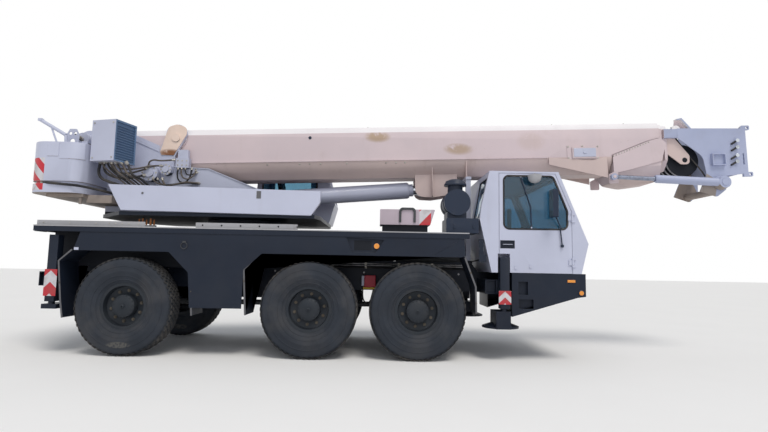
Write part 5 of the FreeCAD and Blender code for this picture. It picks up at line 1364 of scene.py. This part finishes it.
# Hoses on the superstructure: name, radius, points
hoses = {
    "cooler_hose_1": (0.019, [(-5.02, -1.02, 3.00), (-5.03, -1.03, 2.90), (-4.98, -1.03, 2.80), (-4.84, -0.99, 2.74),
                              (-4.70, -0.80, 2.76), (-4.56, -0.62, 2.86)]),
    "cooler_hose_2": (0.016, [(-4.92, -1.00, 3.00), (-4.92, -1.02, 2.92), (-4.86, -1.00, 2.84), (-4.74, -0.90, 2.82),
                              (-4.62, -0.72, 2.90), (-4.52, -0.61, 2.98)]),
    "cooler_hose_3": (0.022, [(-5.10, -0.98, 3.00), (-5.12, -1.02, 2.86), (-5.06, -1.04, 2.72), (-4.90, -1.02, 2.66),
                              (-4.74, -0.86, 2.62), (-4.60, -0.60, 2.62), (-4.50, -0.46, 2.60)]),
    "cooler_hose_4": (0.014, [(-4.84, -1.04, 3.00), (-4.83, -1.04, 2.94), (-4.76, -1.00, 2.88), (-4.64, -0.80, 2.92),
                              (-4.44, -0.60, 3.03), (-4.30, -0.57, 3.03)]),
    "valve_hose_1": (0.013, [(-4.05, -0.50, 3.02), (-4.06, -0.54, 2.92), (-4.02, -0.56, 2.78), (-3.92, -0.56, 2.74),
                             (-3.84, -0.54, 2.82), (-3.83, -0.50, 2.95), (-3.84, -0.46, 3.02)]),
    "valve_hose_2": (0.013, [(-3.99, -0.50, 3.02), (-3.99, -0.55, 2.94), (-3.95, -0.58, 2.84), (-3.86, -0.58, 2.80),
                             (-3.78, -0.55, 2.86), (-3.76, -0.50, 2.94), (-3.77, -0.455, 2.99)]),
    "valve_hose_3": (0.011, [(-3.93, -0.50, 3.02), (-3.93, -0.53, 2.96), (-3.88, -0.55, 2.88), (-3.80, -0.53, 2.90),
                             (-3.74, -0.455, 2.95)]),
    "drive_hose_1": (0.014, [(-4.50, -0.62, 2.99), (-4.50, -0.66, 3.06), (-4.42, -0.66, 3.12), (-4.30, -0.62, 3.10),
                             (-4.10, -0.56, 3.14)]),
    "tail_hose": (0.020, [(-5.90, -1.145, 2.618), (-5.80, -1.213, 2.612), (-5.50, -1.219, 2.585), (-5.336, -1.219, 2.575),
                          (-5.22, -1.16, 2.56), (-5.05, -0.98, 2.53), (-4.92, -0.80, 2.50), (-4.90, -0.46, 2.50)]),
    "winch_hose_1": (0.017, [(-5.68, -0.57, 3.47), (-5.68, -0.66, 3.47), (-5.60, -0.72, 3.40), (-5.46, -0.70, 3.33),
                             (-5.34, -0.60, 3.30), (-5.24, -0.46, 3.22)]),
    "winch_hose_2": (0.014, [(-5.72, -0.57, 3.50), (-5.73, -0.70, 3.52), (-5.66, -0.79, 3.46), (-5.50, -0.78, 3.34),
                             (-5.32, -0.66, 3.30), (-5.22, -0.46, 3.26)]),
}
for k in range(6):  # a bundle from under the cooler down behind the fairing
    start = -5.06 + 0.075 * k
    hoses["bundle_hose_%d" % k] = (0.013 + 0.003 * (k % 3), [
        (start, -1.03 + 0.02 * (k % 2), 3.000), (start + 0.03, -1.06 + 0.02 * k, 2.930), (start + 0.12, -1.04, 2.840 - 0.012 * k),
        (start + 0.24, -1.00, 2.740), (start + 0.36, -0.96 + 0.015 * k, 2.660 - 0.01 * k), (start + 0.44, -0.94, 2.560)])
for k in range(3):  # loops lying beside the drives
    hoses["lying_hose_%d" % k] = (0.012 + 0.002 * k, [
        (-4.42 + 0.08 * k, -0.62, 2.80), (-4.34 + 0.07 * k, -0.70, 2.71 - 0.02 * k), (-4.16 + 0.06 * k, -0.72, 2.68),
        (-3.98 + 0.06 * k, -0.70, 2.70 + 0.02 * k), (-3.86 + 0.05 * k, -0.58, 2.75), (-3.80 + 0.05 * k, -0.465, 2.76)])
for place, (label, (radius, points)) in enumerate(hoses.items()):
    tubePiece(label, [row(*p) for p in points], radius, "superstructure", (hoseRubber, dustyHose)[place % 2])


def hoseEnds(bm, side):
    for label, (radius, points) in hoses.items():
        for here, following in ((points[0], points[1]), (points[-1], points[-2])):
            start = row(*here)
            way = (row(*following) - start).normalized()
            rodInto(bm, start - way * 0.012, start + way * 0.045, radius * 1.28, 14)
            rodInto(bm, start + way * 0.006, start + way * 0.024, radius * 1.6, 6)


kit("hose_ends", "superstructure", zincSteel, extra=hoseEnds, bevel=0.0)

# Tail: arm, bracket with holes, lamp, small tab, lower carrier plate
kit("tail_arm", "superstructure", paintOf["white"], bevel=0.003, rods=[
    ((-6.071, -1.050, 3.645), (-5.652, -1.050, 3.408), 0.028), ((-5.652, -1.050, 3.408), (-5.640, -1.050, 3.263), 0.024),
    ((-5.900, -1.050, 3.548), (-5.780, -1.050, 3.263), 0.014)], boxes=[
    ((-6.100, -1.085, 3.625), (-6.040, -1.015, 3.668)), ((-5.720, -1.100, 3.262), (-5.560, -1.000, 3.276)),
    ((-5.830, -1.090, 3.262), (-5.740, -1.010, 3.274))])


def holedPlate(bm, side):
    plate = [(-5.800, 3.264), (-5.590, 3.264), (-5.590, 3.480), (-5.640, 3.575), (-5.750, 3.575), (-5.800, 3.480)]
    curve = bpy.data.curves.new("holed", "CURVE")
    curve.dimensions = "2D"
    curve.fill_mode = "BOTH"
    curve.extrude = 0.006
    loops = [plate] + [[(cx + r * math.cos(i * math.pi / 8), cz + r * math.sin(i * math.pi / 8)) for i in range(16)]
                       for cx, cz, r in ((-5.735, 3.500, 0.026), (-5.655, 3.500, 0.026), (-5.695, 3.370, 0.040))]
    for loop in loops:
        spline = curve.splines.new("POLY")
        spline.points.add(len(loop) - 1)
        for point, spot in zip(spline.points, loop):
            point.co = (spot[0], spot[1], 0, 1)
        spline.use_cyclic_u = True
    piece = bpy.data.objects.new("holed", curve)
    bpy.context.scene.collection.objects.link(piece)
    bpy.context.view_layer.update()
    mesh = bpy.data.meshes.new_from_object(piece.evaluated_get(bpy.context.evaluated_depsgraph_get()))
    bpy.data.objects.remove(piece)
    mesh.transform(sidePlace(0.800, -1))
    bm.from_mesh(mesh)
    bmesh.ops.remove_doubles(bm, verts=bm.verts, dist=0.00001)


kit("tail_bracket", "superstructure", paintOf["white"], extra=holedPlate, bevel=0.0, boxes=[
    ((-5.800, -0.800, 3.264), (-5.590, -0.720, 3.274))])
kit("tail_lamp_arm", "superstructure", amberLens, both=True, bevel=0.006, boxes=[
    ((-6.149, -0.900, 2.545), (-6.105, -0.830, 2.600))])
# the lower carrier plate under the counterweight takes the grime paint, painted shade as well as grime
kit("tail_carrier", "superstructure", paintOf["grime"], bevel=0.008, boxes=[
    ((-5.870, -1.080, 2.405), (-5.290, 1.080, 2.4605)), ((-5.300, -0.960, 2.330), (-4.900, -0.520, 2.4605)),
    ((-5.300, 0.520, 2.330), (-4.900, 0.960, 2.4605)), ((-5.366, -1.060, 2.300), (-5.320, -1.030, 2.406))])
kit("arch_liners", "carrier", paintOf["base"], both=True, bevel=0.002, boxes=[
    ((-5.850, -0.806, 1.330), (-3.420, -0.801, 1.930)), ((-4.600, -0.801, 1.520), (-4.560, -0.430, 1.545)),
    ((-3.640, -0.801, 1.520), (-3.600, -0.430, 1.545))])


def braceCovers(bm, side):  # the pale sheet over the slanting brace behind the foot pin
    outline = [(-5.080, 3.575), (-5.080, 3.685), (-4.407, 3.400), (-4.407, 3.290)]
    plateInto(bm, outline, 0.013, sidePlace(0.4552, side))


kit("brace_covers", "superstructure", paintOf["white"], both=True, bevel=0.003, extra=braceCovers)
kit("cooler_screws", "superstructure", zincSteel, bevel=0.001, rods=[
    ((-4.780 - d * 0.9659 - 0.0, -1.210 + d * 0.2588 + 0.001, z), (-4.780 - d * 0.9659 - 0.0026, -1.210 + d * 0.2588
     - 0.0087, z), 0.013) for d in (0.045, 0.405) for z in (3.035, 3.595)])
kit("fairing_marks", "superstructure", greyPlastic, bevel=0.002, boxes=[
    ((-2.515, -1.2570, 2.418), (-2.446, -1.2515, 2.535))], rods=[((-4.273, -1.251, 2.468), (-4.273, -1.262, 2.468), 0.017)])
kit("lift_eyes", "superstructure", paintOf["white"], both=True, bevel=0.004, boxes=[
    ((-6.000, -0.730, 3.262), (-5.900, -0.700, 3.330)), ((-5.440, -0.980, 3.262), (-5.340, -0.950, 3.330))])

# Operator's cab: grab rail, roof bars, lock
kit("crane_cab_rails", "superstructure", hoseRubber, bevel=0.0, rods=[
    ((-1.700, 1.262, 2.45), (-1.780, 1.262, 3.25), 0.012), ((-1.700, 1.262, 2.45), (-1.700, 1.245, 2.45), 0.012),
    ((-1.780, 1.262, 3.25), (-1.780, 1.245, 3.25), 0.012)]
    + [((-2.60, y, 3.602), (-1.96, y, 3.580), 0.008) for y in (0.62, 0.74, 0.86, 0.98, 1.10)])
kit("crane_door_lock", "operator_door", blackPlastic, bevel=0.004, boxes=[
    ((-2.070, 1.2510, 2.640), (-1.985, 1.2640, 2.720))], rods=[((-2.060, 1.272, 2.68), (-1.995, 1.272, 2.68), 0.008)])

# Boom: rope guides, side box lids, a plug
guides = []
for u in (6.630, 7.940, 3.300):
    top = 0.165
    for side in (-1, 1):
        guides.append((tuple(boomSpot(u, side * 0.10, top - 0.004) - Vector((shift, 0, 0))),
                       tuple(boomSpot(u, side * 0.10, top + 0.070) - Vector((shift, 0, 0))), 0.008))
    guides.append((tuple(boomSpot(u, -0.112, top + 0.066) - Vector((shift, 0, 0))),
                   tuple(boomSpot(u, 0.112, top + 0.066) - Vector((shift, 0, 0))), 0.009))
kit("rope_guides", "boom", zincSteel, rods=guides, bevel=0.0)


def boxLids(bm, side):
    turn = Matrix.Translation((0, side * 0.414, 0))
    outline = [(6.885, -0.430), (7.272, -0.430), (7.272, -0.278), (6.885, -0.278)]
    flat = boomPlace @ turn @ Matrix(((1, 0, 0), (0, 0, side), (0, 1, 0))).to_4x4()
    plateInto(bm, outline, 0.006, flat)
    plateInto(bm, [(7.05, -0.372), (7.11, -0.372), (7.11, -0.340), (7.05, -0.340)], 0.016, flat)


kit("boom_box_lids", "boom", paintOf["white"], both=True, extra=boxLids, bevel=0.003)

kit("boom_plug", "boom", blackPlastic, bevel=0.002, rods=[
    ((-1.846, -0.372, 3.616), (-1.846, -0.386, 3.616), 0.028)])

# Head: bars behind the link pins, hoist rope over the sheaves
bars = []
for u, v in ((9.767, -0.184), (9.757, -0.302), (9.744, -0.448), (9.735, -0.556)):
    for side in (-1, 1):
        a = boomSpot(u, side * 0.414, v) - Vector((shift, 0, 0))
        b = boomSpot(u - 0.105, side * 0.414, v - 0.062) - Vector((shift, 0, 0))
        bars.append((tuple(a), tuple(b), 0.016))
kit("pin_bars", "boom_head", hoseRubber, rods=bars, bevel=0.0)
caps = []
for u, v in ((9.767, -0.184), (9.757, -0.302), (9.744, -0.448), (9.735, -0.556)):
    for side in (-1, 1):
        a = boomSpot(u, side * 0.430, v) - Vector((shift, 0, 0))
        b = boomSpot(u, side * 0.436, v) - Vector((shift, 0, 0))
        caps.append((tuple(a), tuple(b), 0.035, 0.031))


def rollerGuards(bm, side):  # a small plate over the roller at the head's top
    flat = boomPlace @ Matrix.Translation((0, side * 0.300, 0)) @ Matrix(((1, 0, 0), (0, 0, side), (0, 1, 0))).to_4x4()
    plateInto(bm, [(8.720, 0.040), (8.745, 0.203), (8.740, 0.225), (8.830, 0.240), (8.997, 0.040)], 0.010, flat)


kit("roller_guards", "boom_head", paintOf["boom"], both=True, extra=rollerGuards, bevel=0.002)
kit("pin_caps", "boom_head", chromeSteel, rods=caps, bevel=0.0015)
sheave = (8.870, -0.500, 0.2685)
arc = [(sheave[0] + sheave[2] * math.cos(math.radians(a)), sheave[1] + sheave[2] * math.sin(math.radians(a)))
       for a in range(38, -160, -11)]
for k, side in enumerate((-0.24, -0.12, 0.0, 0.12)):
    tubePiece("head_rope_%d" % k, [boomSpot(u, side, v) for u, v in [(8.720, 0.1185), (8.76, 0.070)] + arc], 0.0095,
              "boom_head", ropeSteel)
tubePiece("head_cable", [boomSpot(u, -0.300, v) for u, v in ((8.74, -0.07), (8.79, -0.15), (8.93, -0.38), (9.09, -0.58),
                                                             (9.215, -0.75), (9.26, -0.86))],
          0.012, "boom_head", hoseRubber)
print("fittings ready")

# Camera, fitted to the six wheels in the photograph
cameraLook = dict(focal=498.37, pitch=5.62, roll=1.088, yaw=0.439, place=(-0.469037, -8.916, 1.431))


def addCamera(look):
    yaw, pitch, roll = (math.radians(look[k]) for k in ("yaw", "pitch", "roll"))
    forward = Vector((math.sin(yaw) * math.cos(pitch), math.cos(yaw) * math.cos(pitch), math.sin(pitch)))
    right = Vector((math.cos(yaw), -math.sin(yaw), 0))
    up = right.cross(forward)
    tiltedRight = right * math.cos(roll) + up * math.sin(roll)
    tiltedUp = up * math.cos(roll) - right * math.sin(roll)
    lensData = bpy.data.cameras.new("view")
    lensData.sensor_width = 36.0
    lensData.lens = look["focal"] / 768 * 36.0
    lensData.clip_end = 200.0
    camera = bpy.data.objects.new("view", lensData)
    bpy.context.scene.collection.objects.link(camera)
    turn = Matrix((tiltedRight, tiltedUp, -forward)).transposed().to_4x4()
    camera.matrix_world = Matrix.Translation(look["place"]) @ turn
    bpy.context.scene.camera = camera


addCamera(cameraLook)

# Floor, world and lamps
stageLook = dict(floor=(0.93, 0.925, 0.92), skyWhite=1.0, skyLight=0.46, sun=1.55, sunAngle=24.0, fill=185.0)


def addStage(look):
    bm = bmesh.new()
    bmesh.ops.create_grid(bm, x_segments=1, y_segments=1, size=60.0)
    floor = bpy.data.objects.new("floor", meshFrom(bm, "floor"))
    bpy.context.scene.collection.objects.link(floor)
    f = Finish("pale_floor", Roughness=0.85, Specular_IOR_Level=0.2)
    floor.data.materials.append(f.surface(Base_Color=f.mix(look["floor"], tuple(c * 0.96 for c in look["floor"]),
                                                           f.noise(0.6, 3.0))))
    world = bpy.data.worlds.new("soft_sky")
    bpy.context.scene.world = world
    world.use_nodes = True
    tree = world.node_tree
    tree.nodes.clear()
    paths = tree.nodes.new("ShaderNodeLightPath")
    seen = Flow(tree, paths.outputs["Is Camera Ray"])
    for label in ("Is Glossy Ray", "Is Transmission Ray"):
        seen = seen.maths("MAXIMUM", seen, Flow(tree, paths.outputs[label]))
    lit = tree.nodes.new("ShaderNodeBackground")
    lit.inputs[0].default_value = (0.90, 0.94, 1.0, 1.0)
    lit.inputs[1].default_value = look["skyLight"]
    shown = tree.nodes.new("ShaderNodeBackground")
    shown.inputs[0].default_value = (1.0, 1.0, 1.0, 1.0)
    shown.inputs[1].default_value = look["skyWhite"]
    blend = tree.nodes.new("ShaderNodeMixShader")
    out = tree.nodes.new("ShaderNodeOutputWorld")
    tree.links.new(seen.socket, blend.inputs[0])
    tree.links.new(lit.outputs[0], blend.inputs[1])
    tree.links.new(shown.outputs[0], blend.inputs[2])
    tree.links.new(blend.outputs[0], out.inputs[0])
    sun = bpy.data.lights.new("high_light", "SUN")
    sun.energy = look["sun"]
    sun.angle = math.radians(look["sunAngle"])
    sun.color = (1.0, 0.96, 0.90)
    sunPiece = bpy.data.objects.new("high_light", sun)
    bpy.context.scene.collection.objects.link(sunPiece)
    sunPiece.rotation_euler = (math.radians(28), math.radians(14), 0)
    side = bpy.data.lights.new("side_light", "AREA")
    side.shape = "RECTANGLE"
    side.size = 16.0
    side.size_y = 5.0
    side.energy = look["fill"]
    side.color = (0.93, 0.95, 1.0)
    sidePiece = bpy.data.objects.new("side_light", side)
    bpy.context.scene.collection.objects.link(sidePiece)
    sidePiece.location = (0.0, -12.0, 6.0)
    sidePiece.rotation_euler = (math.radians(66), 0, 0)
    bpy.context.scene.view_settings.view_transform = "Standard"


addStage(stageLook)
print("stage ready")

# Finishes on the solids that stay as they are
for material, names in ((teaGlass, ("cab_glass", "door_glass_right", "door_glass_left", "operator_glass")),):
    for name in names:
        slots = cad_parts[name].data.materials
        slots.clear()
        slots.append(material)
